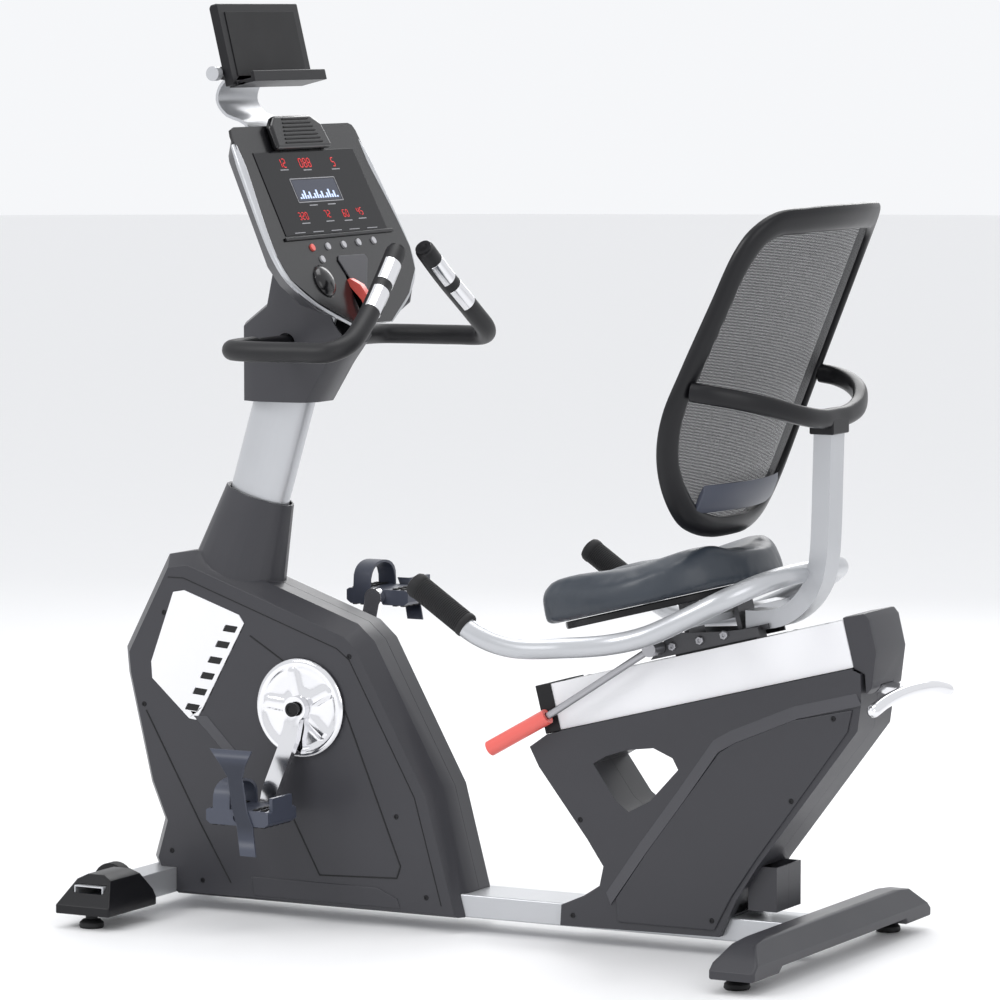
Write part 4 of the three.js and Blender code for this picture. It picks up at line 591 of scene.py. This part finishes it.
BACK_LOOP = BACK_EDGE + [BACK_TOP] + [(-y, z) for y, z in reversed(BACK_EDGE[1:])]
EDGE_POINTS = [(p.x, p.y) for p in curve([(y, z, 0) for y, z in BACK_LOOP], 9.0, loop=True)]
BACK_CENTRE = (0.0, 938.0)


def band_width(z):
    """How wide the backrest's band is at this height."""
    if z > TOP_BAND_FROM:
        share = min(1.0, (z - TOP_BAND_FROM) / BAND_CHANGE)
        return BACK_SIDE_BAND + (BACK_TOP_BAND - BACK_SIDE_BAND) * share
    share = min(1.0, max(0.0, (LOW_BAND_FROM - z) / BAND_CHANGE))
    return BACK_SIDE_BAND + (BACK_LOW_BAND - BACK_SIDE_BAND) * share


def inward(i):
    """The direction from a point of the backrest's edge to its inside, in Y and Z."""
    count = len(EDGE_POINTS)
    y0, z0 = EDGE_POINTS[i - 1]
    y1, z1 = EDGE_POINTS[(i + 1) % count]
    length = math.hypot(y1 - y0, z1 - z0)
    a = -(z1 - z0) / length
    b = (y1 - y0) / length
    toward = (BACK_CENTRE[0] - EDGE_POINTS[i][0], BACK_CENTRE[1] - EDGE_POINTS[i][1])
    return (a, b) if a * toward[0] + b * toward[1] > 0 else (-a, -b)


def band_point(i, share, out):
    """A place on the backrest's band, at a share of its width from its outer edge."""
    y, z = EDGE_POINTS[i]
    width = band_width(z)
    ny, nz = inward(i)
    py = y + ny * width * share
    pz = z + nz * width * share
    return (back_x(py, pz, out), py, pz)


BAND_SECTION = squircle(0.5, 12.5, 2.6, 20)
rings = []
MESH_EDGE = []
for i, (y, z) in enumerate(EDGE_POINTS):
    rings.append([band_point(i, 0.5 + a, b) for a, b in BAND_SECTION])
    ny, nz = inward(i)
    reach = band_width(z) - MESH_TUCK
    MESH_EDGE.append((y + ny * reach, z + nz * reach))
back_frame = Shape().loft(rings, loop=True)
back_frame.piece("backrest_band", BLACK, "seat", "black", 0, ("backrest_frame",))


def seam_tube(name, share, out, radius):
    """A thin bead that runs all round the backrest's band, at a share of its width."""
    path = [Vector(band_point(i, share, out)) for i in range(len(EDGE_POINTS))]
    rings = []
    for i, point in enumerate(path):
        along = (path[(i + 1) % len(path)] - path[i - 1]).normalized()
        normal = Vector((1, 0, 0)) - along * along.x
        normal.normalize()
        rings.append(circle(point, normal, along.cross(normal), radius, 8))
    Shape().loft(rings, loop=True).piece(name, PIPING, "seat", "black", 0)


seam_tube("backrest_front_bead", 0.78, -11.2, 1.8)
seam_tube("backrest_outer_seam", 0.12, -8.6, 1.2)

MESH_RINGS = 16
LEAN_STRETCH = math.hypot(1, BACK_LEAN)  # length along the leaning back for each unit of height


def cut_area():
    """The area in square metres of the cloth as it is cut: flat, to the band's inside, before it is bowed."""
    pairs = zip(MESH_EDGE, MESH_EDGE[1:] + MESH_EDGE[:1])
    twice = sum(y0 * z1 - y1 * z0 for (y0, z0), (y1, z1) in pairs)
    return abs(twice) / 2 * LEAN_STRETCH * MM * MM


def mesh_sheet():
    """The stretched cloth: rings from its middle out to the inside of the band, with UVs in millimetres."""
    count = len(MESH_EDGE)
    flat = [BACK_CENTRE]
    for ring in range(1, MESH_RINGS + 1):
        share = ring / MESH_RINGS
        flat += [(BACK_CENTRE[0] + (y - BACK_CENTRE[0]) * share,
                  BACK_CENTRE[1] + (z - BACK_CENTRE[1]) * share) for y, z in MESH_EDGE]
    faces = [(0, 1 + i, 1 + (i + 1) % count) for i in range(count)]
    for ring in range(MESH_RINGS - 1):
        a = 1 + ring * count
        b = a + count
        faces += [(a + i, b + i, b + (i + 1) % count, a + (i + 1) % count) for i in range(count)]
    mesh = bpy.data.meshes.new("stretched_mesh")
    mesh.from_pydata([at(back_x(y, z), y, z) for y, z in flat], [], faces)
    layer = mesh.uv_layers.new(name="cloth")
    for loop in mesh.loops:
        y, z = flat[loop.vertex_index]
        layer.data[loop.index].uv = (y, z * LEAN_STRETCH)
    mesh.materials.append(MESH)
    mesh.shade_smooth()
    obj = bpy.data.objects.new("stretched_mesh", mesh)
    SCENE.collection.objects.link(obj)
    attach(obj, "seat")
    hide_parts("backrest_mesh")
    cut_area()


mesh_sheet()

# A curved bar low on the back, behind the mesh, in (Z, distance back) pairs.
SUPPORT_SECTION = ((716, 0), (728, -3), (752, -3), (764, 0), (752, 5), (728, 5))
SUPPORT_HALF = 138
SUPPORT_GAP = 9
SUPPORT_BOW = 5
SUPPORT_STEPS = 12
rows = []
for step in range(SUPPORT_STEPS + 1):
    t = step / SUPPORT_STEPS
    y = -SUPPORT_HALF + 2 * SUPPORT_HALF * t
    gap = SUPPORT_GAP + SUPPORT_BOW * math.sin(math.pi * t)
    rows.append([(back_x(y, z, gap) + dx, y, z) for z, dx in SUPPORT_SECTION])
support = Shape().loft(rows)
support.piece("lumbar_support", SLATE, "seat", "black", 2)

# ---------------------------------------------------------------- seat cushion

SEAT_FRONT = -424                     # along the seat rail
SEAT_REAR = -54
SEAT_SHOULDER = SEAT_FRONT + 190      # where it is widest
SEAT_HALF = 190
SEAT_BASE = 92.5                      # above the slope line
SEAT_THICK = 56
PAD_POINTS = 96                       # points round each ring of the cushion
# The cushion's side, as (inset, height above its base) pairs, and its top's rings as shares of the last one.
PAD_SIDE = ((7.0, 0.5), (3.5, 6), (4.5, 26),
            (4.0, SEAT_THICK - 16), (9.0, SEAT_THICK - 6), (20.0, SEAT_THICK - 2))
PAD_TOP = (0.85, 0.68, 0.5, 0.32, 0.15)
PAD_CENTRE = SEAT_FRONT + 200


def seat_outline(inset):
    """(u, y) round the cushion, from the middle of its rear edge."""
    half = SEAT_HALF - inset
    front = SEAT_FRONT + inset
    rear = SEAT_REAR - inset
    near = []
    for i in range(13):
        t = math.pi / 2 * i / 12
        near.append((SEAT_SHOULDER + (rear - SEAT_SHOULDER) * math.cos(t) ** 0.8, half * math.sin(t)))
    near += [(front + 74, 160 - inset), (front + 18, 130 - inset), (front, 102 - inset)]
    loop = near + [(u, -y) for u, y in reversed(near[1:])]
    points = [(p.x, p.y) for p in curve([(u, y, 0) for u, y in loop], 8.0, loop=True)]
    return [points[round(k * len(points) / PAD_POINTS) % len(points)] for k in range(PAD_POINTS)]


def seat_point(u, y, a):
    x, z = slope(u, a)
    return (x, y, z)


def seat_height(u, y):
    """How much higher or lower the top is than the thickness: raised side lobes and a dished middle."""
    lobe = 13 * math.exp(-((abs(y) - 112) / 48) ** 2)
    dish = -15 * math.exp(-(y / 62) ** 2 - ((u - (SEAT_FRONT + 120)) / 150) ** 2)
    waist = -9 * math.exp(-((u - SEAT_SHOULDER) / 80) ** 2)
    nose = -6 * max(0.0, (SEAT_FRONT + 60 - u) / 60) ** 2
    return lobe + dish + waist + nose


def cushion_shape():
    """The cushion before it swells: its base is flat, and its side is a little pulled in."""
    rings = []
    for inset, a in PAD_SIDE:
        crown = min(1.0, a / SEAT_THICK) ** 4
        ring = [seat_point(u, y, SEAT_BASE + a + seat_height(u, y) * crown) for u, y in seat_outline(inset)]
        rings.append(ring)
    for share in PAD_TOP:
        ring = []
        for u, y in seat_outline(PAD_SIDE[-1][0]):
            top_u = PAD_CENTRE + (u - PAD_CENTRE) * share
            top_y = y * share
            ring.append(seat_point(top_u, top_y, SEAT_BASE + SEAT_THICK - 1 + seat_height(top_u, top_y)))
        rings.append(ring)
    return Shape().loft(rings)


def cushion():
    """The padded seat, swollen by Blender's cloth and held flat on its pan."""
    obj = cushion_shape().piece("seat_pad", LEATHER, "seat", "cushion", 0, ("seat_cushion",))
    for modifier in list(obj.modifiers):
        obj.modifiers.remove(modifier)
    swell(obj)
    smooth = obj.modifiers.new("smooth", "SUBSURF")
    smooth.levels = 1
    smooth.render_levels = 1
    obj.data.shade_smooth()


PAD_VOXEL = 5.5
PAD_PINNED = 3                        # the height above its base up to which the pad is held
PAD_FRAMES = 20
PAD_PRESSURE = 4.0
PAD_EASE = 14                         # rounds of smoothing that take out the cloth's small creases
PAD_CAP = 5.0                         # the furthest that the cloth may move a point of the pad


def swell(obj):
    """Blows the pad up a little as cloth with its base pinned, and eases out the creases."""
    remesh = obj.modifiers.new("remesh", "REMESH")
    remesh.mode = "VOXEL"
    remesh.voxel_size = PAD_VOXEL * MM
    apply_modifiers(obj)
    before = [v.co.copy() for v in obj.data.vertices]
    pinned = [i for i, point in enumerate(before) if seat_above(point) < SEAT_BASE + PAD_PINNED]
    pins = obj.vertex_groups.new(name="pins")
    pins.add(pinned, 1.0, "REPLACE")
    cloth = obj.modifiers.new("cloth", "CLOTH")
    cloth.settings.use_pressure = True
    cloth.settings.uniform_pressure_force = PAD_PRESSURE
    cloth.settings.vertex_group_mass = "pins"
    cloth.settings.effector_weights.gravity = 0
    cloth.settings.quality = 6
    for number in range(1, PAD_FRAMES + 1):
        SCENE.frame_set(number)
    apply_modifiers(obj)
    SCENE.frame_set(1)
    for vertex, start in zip(obj.data.vertices, before):
        moved = vertex.co - start
        if moved.length > PAD_CAP * MM:
            vertex.co = start + moved * (PAD_CAP * MM / moved.length)
    obj.data.update()
    ease = obj.modifiers.new("ease", "SMOOTH")
    ease.factor = 0.5
    ease.iterations = PAD_EASE
    apply_modifiers(obj)


def seat_above(point):
    """How far a point in metres lies above the seat's slope line, in millimetres."""
    x = (point.x - ORIGIN_X) / MM
    z = point.z / MM - SLOPE_Z
    return -x * math.sin(SLOPE) + z * math.cos(SLOPE)


def apply_modifiers(obj):
    """Puts the piece's mesh as its modifiers leave it in place of its own."""
    graph = bpy.context.evaluated_depsgraph_get()
    mesh = bpy.data.meshes.new_from_object(obj.evaluated_get(graph))
    obj.modifiers.clear()
    old = obj.data
    obj.data = mesh
    bpy.data.meshes.remove(old)


cushion()

# ---------------------------------------------------------------- crank discs and pedals

CRANK_LEAN = 0.205                    # how far the left arm is from pointing straight down
CRANK_RADIUS = 170
PEDAL_Y = 174

STAR_ARMS = 5
STAR_TURN = math.pi / 2 + CRANK_LEAN
STAR_RISE = 3.0                       # how far its arms, hub and rim stand up from the disc
ARM_HALF = 9
HUB_RADIUS = 27
RIM_RADIUS = 68
RIM_ROUNDED = 79                      # the radius from which the rim falls away
DISC_FACE = 74.4
DISC_BACK = 70.6
DISC_RADII = (15, 17, 20, 26, 32, 38, 44, 50, 56, 61, 65, 68, 71, 75, 78, 80.5, 82)
DISC_STEPS = 120


def soft_step(distance, width):
    """Falls from 1 to 0 as a distance goes from below to above nought."""
    return 1 / (1 + math.exp(distance / width))


def cover_disc(side, sign):
    """A dished chrome cover with a star of raised arms pressed into it."""
    front = []
    for radius in DISC_RADII:
        ring = []
        for k in range(DISC_STEPS):
            t = 2 * math.pi * k / DISC_STEPS
            from_arm = abs(math.sin(STAR_ARMS * (t - STAR_TURN) / 2)) * radius * 2 / STAR_ARMS
            arm = soft_step(from_arm - ARM_HALF, 1.1) if radius < RIM_RADIUS - 2 else 0
            hub = soft_step(radius - HUB_RADIUS, 1.4)
            rim = soft_step(RIM_RADIUS - radius, 1.2)
            out = DISC_FACE + STAR_RISE * max(arm, hub, rim)
            if radius > RIM_ROUNDED:
                out -= (radius - RIM_ROUNDED) * 1.1
            ring.append((CRANK[0] + radius * math.cos(t), sign * out, CRANK[1] + radius * math.sin(t)))
        front.append(ring)
    back = [[(x, sign * DISC_BACK, z) for x, _, z in ring] for ring in (front[-1], front[0])]
    shape = Shape().loft(front + back, loop=True)
    shape.piece(f"{side}_star_disc", CHROME, "crank", "chrome", 0, (f"{side}_cover_disc",))


# The strap on each pedal's outer side: its middle and half width along X, and its height, from the tail up.
STRAPS = {
    "left": ((22, 15, -62), (16, 15, -12), (6, 14, 14), (-2, 14, 66), (-6, 22, 84), (-10, 40, 112)),
    "right": ((22, 15, -46), (16, 15, -12), (6, 14, 14), (2, 14, 24)),
}
STRAP_OUT = 47.5                      # from the middle of the pedal
STRAP_HALF_THICK = 1.6
CRANK_BOLT = ((0.1, -2), (12, -2), (12, 1.5), (10.5, 3), (7, 3), (6.6, 1.6), (0.1, 1.6))
CRANK_BOLT_Y = 100
TREAD_LENGTH = 8                      # along X
TREAD_WIDTH = 12
TREAD_FOOT = 12.6                     # above the pedal's axis
TREAD_TOP = 15.2


def pedal_centre(sign):
    """X and Z of a pedal's axis: the left one hangs down and the right one stands up."""
    reach = sign * CRANK_RADIUS
    return (CRANK[0] + reach * math.sin(CRANK_LEAN), CRANK[1] + reach * math.cos(CRANK_LEAN))


def rectangle(a, b, width, height):
    """The corners of a rectangle round its centre."""
    return [(a - width / 2, b - height / 2), (a + width / 2, b - height / 2),
            (a + width / 2, b + height / 2), (a - width / 2, b + height / 2)]


for side, sign in SIDES:
    cover_disc(side, sign)
    bolt = Shape().lathe((CRANK[0], sign * CRANK_BOLT_Y, CRANK[1]), (0, sign, 0), CRANK_BOLT)
    bolt.piece(f"{side}_crank_bolt", BLACK, "crank", "black", 0)
    px, pz = pedal_centre(sign)
    tread = Shape()
    for dx in (-46, -31, 31, 46):
        for dy in (-36, -18, 0, 18, 36):
            for face in (-1, 1):
                outline = rectangle(px + dx, sign * PEDAL_Y + dy, TREAD_LENGTH, TREAD_WIDTH)
                tread.loft([[(x, y, pz + face * z) for x, y in outline] for z in (TREAD_FOOT, TREAD_TOP)])
    tread.piece(f"{side}_pedal_treads", RUBBER, f"{side}_pedal", "rubber", 0.7)
    strap = Shape()
    strap_y = sign * (PEDAL_Y + STRAP_OUT)
    for low, high in zip(STRAPS[side], STRAPS[side][1:]):
        strap.prism([(px + low[0] - low[1], pz + low[2]), (px + low[0] + low[1], pz + low[2]),
                     (px + high[0] + high[1], pz + high[2]), (px + high[0] - high[1], pz + high[2])],
                    strap_y - STRAP_HALF_THICK, strap_y + STRAP_HALF_THICK)
    strap.piece(f"{side}_pedal_strap", SLATE, f"{side}_pedal", "slate", 0.6)

# ---------------------------------------------------------------- shrouds

SUNK = 1                              # how far an added plate reaches into the shell it lies on
KICK_PLATE = [(-1000, 66), (-994, 34), (-716, 34), (-722, 50), (-760, 66)]
# The outline of a flat strip of lighter plastic: a painted highlight where the shroud's bevel catches the
# light.
BEVEL_HIGHLIGHT_STRIP = [(-1112, 330), (-1084, 330), (-1016, 262), (-1040, 262)]
VENT_SLOT = [(12, 5), (-22, 4), (-29, -11), (5, -10)]
VENT_SLOTS = 6
VENT_TOP = (-1024, 484)
VENT_RUN = (-74, -136)                # from the top slot to the lowest one
SHROUD_LINES = (
    ([(-1204, 333), (-1100, 150), (-1040, 52)], 1.3),
    ([(-1001, 470), (-823, 363), (-716, 104), (-723, 84), (-869, 78), (-926, 182)], 1.3),
    ([(-1160, 560), (-1130, 560), (-836, 458), (-812, 440), (-690, 220), (-640, 44)], 0.9),
)
SHROUD_SCREWS = [(-812, 446), (-1168, 500), (-1208, 343), (-724, 186), (-1095, 52), (-668, 56),
                 (-1155, 98)]


def side_bead(shape, points, y, radius):
    """A thin line drawn on a side plate."""
    for a, b in zip(points, points[1:]):
        shape.tube([(a[0], y, a[1]), (b[0], y, b[1])], radius, 6)


def side_screws(shape, points, y, sign):
    """Screws at (x, z) places on a side plate."""
    for x, z in points:
        shape.lathe((x, sign * y, z), (0, sign, 0), SCREW_HEAD, 16)


for side, sign in SIDES:
    kick = Shape().prism(KICK_PLATE, sign * (SHROUD_Y - SUNK), sign * (SHROUD_Y + 1.8))
    kick.piece(f"{side}_kick_plate", CHARCOAL, "frame", "charcoal", 1.4)
    # Painted highlight: a flat, lighter strip in place of the lit bevel.
    strip = Shape().prism(BEVEL_HIGHLIGHT_STRIP, sign * (SHROUD_Y - SUNK), sign * (SHROUD_Y + 1.4))
    strip.piece(f"{side}_bevel_highlight_strip", PANEL_AND_BEVEL_HIGHLIGHT, "frame", "charcoal", 1.2)
    # Painted shade: dark plates fill the vent slots in place of the shade inside them.
    slots = Shape()
    for number in range(VENT_SLOTS):
        t = number / (VENT_SLOTS - 1)
        x = VENT_TOP[0] + VENT_RUN[0] * t
        z = VENT_TOP[1] + VENT_RUN[1] * t
        slot = [(x + dx, z + dz) for dx, dz in VENT_SLOT]
        slots.prism(slot, sign * (SHROUD_Y - SUNK), sign * (SHROUD_Y + 0.6))
    slots.piece(f"{side}_vent_slot_shade", SEAM_BLACK_AND_SLOT_SHADE, "frame", "black", 0)
    lines = Shape()
    for points, radius in SHROUD_LINES:
        side_bead(lines, points, sign * (SHROUD_Y + 0.2), radius)
    lines.piece(f"{side}_shroud_lines", SEAM_BLACK_AND_SLOT_SHADE, "frame", "black", 0)
    screws = Shape()
    side_screws(screws, SHROUD_SCREWS, SHROUD_Y, sign)
    screws.piece(f"{side}_shroud_screws", BLACK, "frame", "black", 0)

# ---------------------------------------------------------------- rear covers

# The upper edge of the raised ridge that follows the covers' outline.
RIDGE = [(98, 440), (-11, 413), (-121, 367), (-150, 350), (-214, 262), (-279, 176), (-340, 90)]
RIDGE_WIDTH = 19
COVER_PLATE = [(92, 414), (-8, 392), (-113, 348), (-138, 332), (-200, 250), (-265, 164), (-322, 82), (-318, 44),
               (-146, 44), (-116, 100), (-74, 162), (84, 378)]
for side, sign in SIDES:
    plate = Shape().prism(COVER_PLATE, sign * (COVER_Y - 1.5), sign * (COVER_Y + 3.2))
    plate.piece(f"{side}_cover_plate", CHARCOAL, "frame", "charcoal", 3)
    # The ridge's slope is real; its lighter plastic is painted highlight on the lit chamfer.
    low = [(x + RIDGE_WIDTH * 0.5, z - RIDGE_WIDTH) for x, z in RIDGE]
    sunk = sign * (COVER_Y - SUNK)
    ridge = Shape().loft([[(a[0], sunk, a[1]), (a[0], sign * (COVER_Y + 0.5), a[1]),
                           (b[0], sign * (COVER_Y + 3.4), b[1]), (b[0], sunk, b[1])]
                          for a, b in zip(RIDGE, low)])
    ridge.piece(f"{side}_cover_ridge", PANEL_AND_BEVEL_HIGHLIGHT, "frame", "charcoal", 0.8)
    screws = Shape()
    side_screws(screws, [(-387, 205), (-400, 48)], COVER_Y, sign)
    side_screws(screws, [(-12, 262), (-150, 60), (60, 398)], COVER_Y + 3, sign)
    screws.piece(f"{side}_cover_screws", BLACK, "frame", "black", 0)

# ---------------------------------------------------------------- rail, post and carriage

SLOPE_UP = Vector((-math.sin(SLOPE), 0, math.cos(SLOPE)))
RAIL_SCREW_Y = 46
CARRIAGE_BOLT_Y = 50
rail_screws = Shape()
for u in (-440, -250, -60, 40):
    for sign in (-1, 1):
        x, z = slope(u, -1)
        rail_screws.lathe((x, sign * RAIL_SCREW_Y, z), SLOPE_UP, SCREW_HEAD, 16)
rail_screws.piece("rail_screws", BLACK, "frame", "black", 0)
carriage_bolts = Shape()
for u in (-232, -182, -138):
    for sign in (-1, 1):
        x, z = slope(u, 17)
        carriage_bolts.lathe((x, sign * CARRIAGE_BOLT_Y, z), (0, sign, 0), BOLT_HEAD, 6)
carriage_bolts.piece("carriage_bolts", ZINC, "seat", "steel", 0.5)
post_screws = Shape()
for z in (790, 812):
    for sign in (-1, 1):
        post_screws.lathe((17.5, sign * 15, z), (0, sign, 0), SCREW_HEAD, 16)
post_screws.piece("post_screws", BLACK, "seat", "black", 0)

# ---------------------------------------------------------------- console

LEAN = math.atan2(CONSOLE_LOW[0] - CONSOLE_TOP[0], CONSOLE_TOP[1] - CONSOLE_LOW[1])


def on_face(foot, lean, y, up, out):
    """A point across, up and out from a face that leans forward from its foot."""
    return (foot[0] - math.sin(lean) * up + math.cos(lean) * out, y,
            foot[1] + math.cos(lean) * up + math.sin(lean) * out)


def console(y, up, out):
    return on_face(CONSOLE_LOW, LEAN, y, up, out)


def console_slab(shape, outline, low, high):
    """A plate on the console's face, between two distances out from it."""
    return shape.loft([[console(y, up, out) for y, up in outline] for out in (low, high)])


SEGMENTS = {                          # which of the seven bars each figure lights
    "0": "abcdef", "1": "bc", "2": "abged", "3": "abgcd", "4": "fgbc", "5": "afgcd", "6": "afgedc",
    "7": "abc", "8": "abcdefg", "9": "abfgcd",
}
BARS = {                              # each bar's centre as shares of the figure's size, and if it stands up
    "a": (0, 0.5, False), "b": (0.5, 0.25, True), "c": (0.5, -0.25, True), "d": (0, -0.5, False),
    "e": (-0.5, -0.25, True), "f": (-0.5, 0.25, True), "g": (0, 0, False),
}


def figures(shape, text, y, up, size):
    """Seven-segment figures, centred on a place."""
    width = size * 0.55
    pitch = size * 0.9
    start = y - pitch * (len(text) - 1) / 2
    for number, figure in enumerate(text):
        for name in SEGMENTS[figure]:
            across, above, upright = BARS[name]
            wide, tall = (size * 0.13, size * 0.42) if upright else (width * 0.8, size * 0.12)
            centre = (start + number * pitch + across * width, up + above * size)
            console_slab(shape, rectangle(*centre, wide, tall), 0.9, 1.7)


# What lies on the console's face, as (across, up) places, or as the centre and size of a rectangle.
SCREEN_OUTLINE = [(-168, 163), (170, 163), (166, 312), (-163, 312)]
LCD_BOX = (-10, 241, 140, 38)
LCD_FRAME = ((-10, 262, 146, 1.6), (-10, 220, 146, 1.6), (-83, 241, 1.6, 42), (63, 241, 1.6, 42))
LABEL_LINES = ((-86, 279), (-12, 277), (81, 276), (-88, 183), (-8, 184), (52, 183), (101, 185),
               (-40, 214), (20, 214))
KEY_LINES = (-120, -60, 0, 60, 120)
LCD_BARS = 16
LCD_BAR_PITCH = 8
UPPER_FIGURES = (("12", -86, 291), ("088", -12, 290), ("5", 81, 289))
LOWER_FIGURES = (("320", -88, 196), ("72", -8, 197), ("60", 52, 196), ("45", 101, 198))

screen = console_slab(Shape(), SCREEN_OUTLINE, 0.1, 1.2)
screen.piece("console_screen", SCREEN, "frame", "black", 0.5)
printed = Shape()
for box in LCD_FRAME:
    console_slab(printed, rectangle(*box), 1.0, 1.9)
for y, up in LABEL_LINES:
    console_slab(printed, rectangle(y, up, 26, 1.8), 1.0, 1.6)
for y in KEY_LINES:
    console_slab(printed, rectangle(y, 167, 34, 1.4), 1.0, 1.6)
printed.piece("console_print", PALE_PRINT, "frame", "key", 0)
lcd = console_slab(Shape(), rectangle(*LCD_BOX), 1.0, 1.6)
lcd.piece("console_lcd", LCD, "frame", "black", 0)
lcd_bars = Shape()
for number in range(LCD_BARS):
    height = 3 + 3 * (number * 7 % 5)
    console_slab(lcd_bars, rectangle(-70 + number * LCD_BAR_PITCH, 226 + height / 2, 5, height), 1.4, 1.9)
lcd_bars.piece("console_lcd_bars", LED_PALE, "frame", "key", 0)
leds = Shape()
for text, y, up in UPPER_FIGURES:
    figures(leds, text, y, up, 15)
for text, y, up in LOWER_FIGURES:
    figures(leds, text, y, up, 12)
leds.piece("console_figures", LED_RED, "frame", "coral", 0)

ridge = console_slab(Shape(), [(-176, 154), (184, 157), (184, 163), (-176, 160)], 0.2, 3.4)
ridge.piece("console_ridge", BLACK, "frame", "black", 1.2)
hood = console_slab(Shape(), [(-98, 313), (82, 313), (74, 356), (46, 372), (-72, 372), (-92, 356)], 0.2, 14)
hood.piece("console_fan_hood", GLOSS_BLACK, "frame", "black", 6)
vents = Shape()
for number in range(7):
    console_slab(vents, rectangle(-8, 322 + number * 7.0, 120 - number * 6, 2.6), 13.2, 15.6)
vents.piece("console_fan_slats", SEAM_BLACK_AND_SLOT_SHADE, "frame", "black", 0.4)
wedge = console_slab(Shape(), [(-10, 42), (2, 42), (60, 112), (56, 121), (-30, 122), (-36, 114)], 0.2, 3)
wedge.piece("stop_lever_bezel", PANEL_AND_BEVEL_HIGHLIGHT, "frame", "charcoal", 1.2)
outward = Vector(console(0, 0, 1)) - Vector(console(0, 0, 0))
BOSS_RADIUS = 27
BOSS_HEIGHT = 12
BOSS_STEPS = 8
dome = [(BOSS_RADIUS * math.cos(t), BOSS_HEIGHT * math.sin(t))
        for t in (math.pi / 2 * k / BOSS_STEPS for k in range(BOSS_STEPS))]
BOSS_RIM = [(0.2, -1), (29, -1), (29, 1)]
boss = Shape().lathe(console(-106, 80, 0), outward, BOSS_RIM + dome + [(0.2, BOSS_HEIGHT)], 36)
boss.piece("console_round_boss", GLOSS_BLACK, "frame", "black", 0)

TRIM_EDGE = ((202, 330), (206, 290), (222, 134), (210, 92), (160, 47), (66, 2))  # across and up


def trim_radius(share):
    """The trim is thickest near its top end and tapers towards its foot."""
    return 2.6 + 6.0 * (1 - share) ** 1.3 * min(1, 6 * share + 0.4)


trim = Shape()
for sign in (-1, 1):
    path = curve([console(sign * y, up, -5.0) for y, up in TRIM_EDGE], 10)
    trim.tube(path, trim_radius, 12)
trim.piece("console_side_trim", SILVER, "frame", "silver", 0)

# ---------------------------------------------------------------- tablet tray

TRAY_LEAN = 0.24
TRAY = (-990, 1384)                   # X and Z of the foot of the tray's face
TRAY_PAD = [(-112, 14), (112, 14), (112, 122), (-112, 122)]
TRAY_PAD_THICK = 1.4
tray_pad = Shape().loft([[on_face(TRAY, TRAY_LEAN, y, up, out) for y, up in TRAY_PAD]
                         for out in (0.0, TRAY_PAD_THICK)])
tray_pad.piece("tray_face_pad", RUBBER, "tray", "rubber", 0.8)

# ---------------------------------------------------------------- light, floor and camera

MIDDLE = Vector((0, 0, 0.7))          # metres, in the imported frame, as all of this section is


def soft_light(name, place, size, power):
    """A square lamp that faces the middle of the bike."""
    light = bpy.data.lights.new(name, "AREA")
    light.energy = power
    light.size = size
    obj = bpy.data.objects.new(name, light)
    obj.location = place
    obj.rotation_euler = (MIDDLE - Vector(place)).to_track_quat("-Z", "Y").to_euler()
    SCENE.collection.objects.link(obj)


soft_light("key_light", (-2.2, -3.4, 3.6), 1.8, 70)
soft_light("fill_light", (3.4, -2.4, 2.0), 2.2, 26)
soft_light("top_light", (0.2, 0.4, 4.2), 2.2, 50)
soft_light("back_light", (-1.0, 3.6, 2.6), 2.0, 40)

world = bpy.data.worlds.new("studio")
world.use_nodes = True
world.node_tree.nodes["Background"].inputs["Color"].default_value = (0.94, 0.95, 0.97, 1)
world.node_tree.nodes["Background"].inputs["Strength"].default_value = 0.98
SCENE.world = world
SCENE.view_settings.view_transform = "Standard"

FLOOR_LOOK = surface("studio_floor", (0.88, 0.88, 0.885), 0.6, mottle=0.01, grain=40.0, bump=0.02)
FLOOR_RADIUS = 30.0
FLOOR_SIDES = 64
floor_mesh = bpy.data.meshes.new("studio_floor")
rim = [(FLOOR_RADIUS * math.cos(t), FLOOR_RADIUS * math.sin(t), 0.0)
       for t in (2 * math.pi * k / FLOOR_SIDES for k in range(FLOOR_SIDES))]
floor_mesh.from_pydata(rim, [], [tuple(range(FLOOR_SIDES))])
floor_mesh.materials.append(FLOOR_LOOK)
floor = bpy.data.objects.new("studio_floor", floor_mesh)
SCENE.collection.objects.link(floor)
floor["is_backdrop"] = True

AZIMUTH = math.radians(27.841)        # from straight out of the left side, towards the rear
ELEVATION = math.radians(5.355)
CAMERA_PLACE = (3.4241 + ORIGIN_X, -7.5568, 1.511)
FOCAL_LENGTH = 189.504
lens = bpy.data.cameras.new("photo_camera")
lens.sensor_width = 36
lens.lens = FOCAL_LENGTH
lens.clip_end = 2 * FLOOR_RADIUS
camera = bpy.data.objects.new("photo_camera", lens)
camera.location = CAMERA_PLACE
level = math.cos(ELEVATION)
back = Vector((math.sin(AZIMUTH) * level, -math.cos(AZIMUTH) * level, math.sin(ELEVATION)))
camera.rotation_euler = back.to_track_quat("Z", "Y").to_euler()
SCENE.collection.objects.link(camera)
SCENE.camera = camera

low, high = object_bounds()
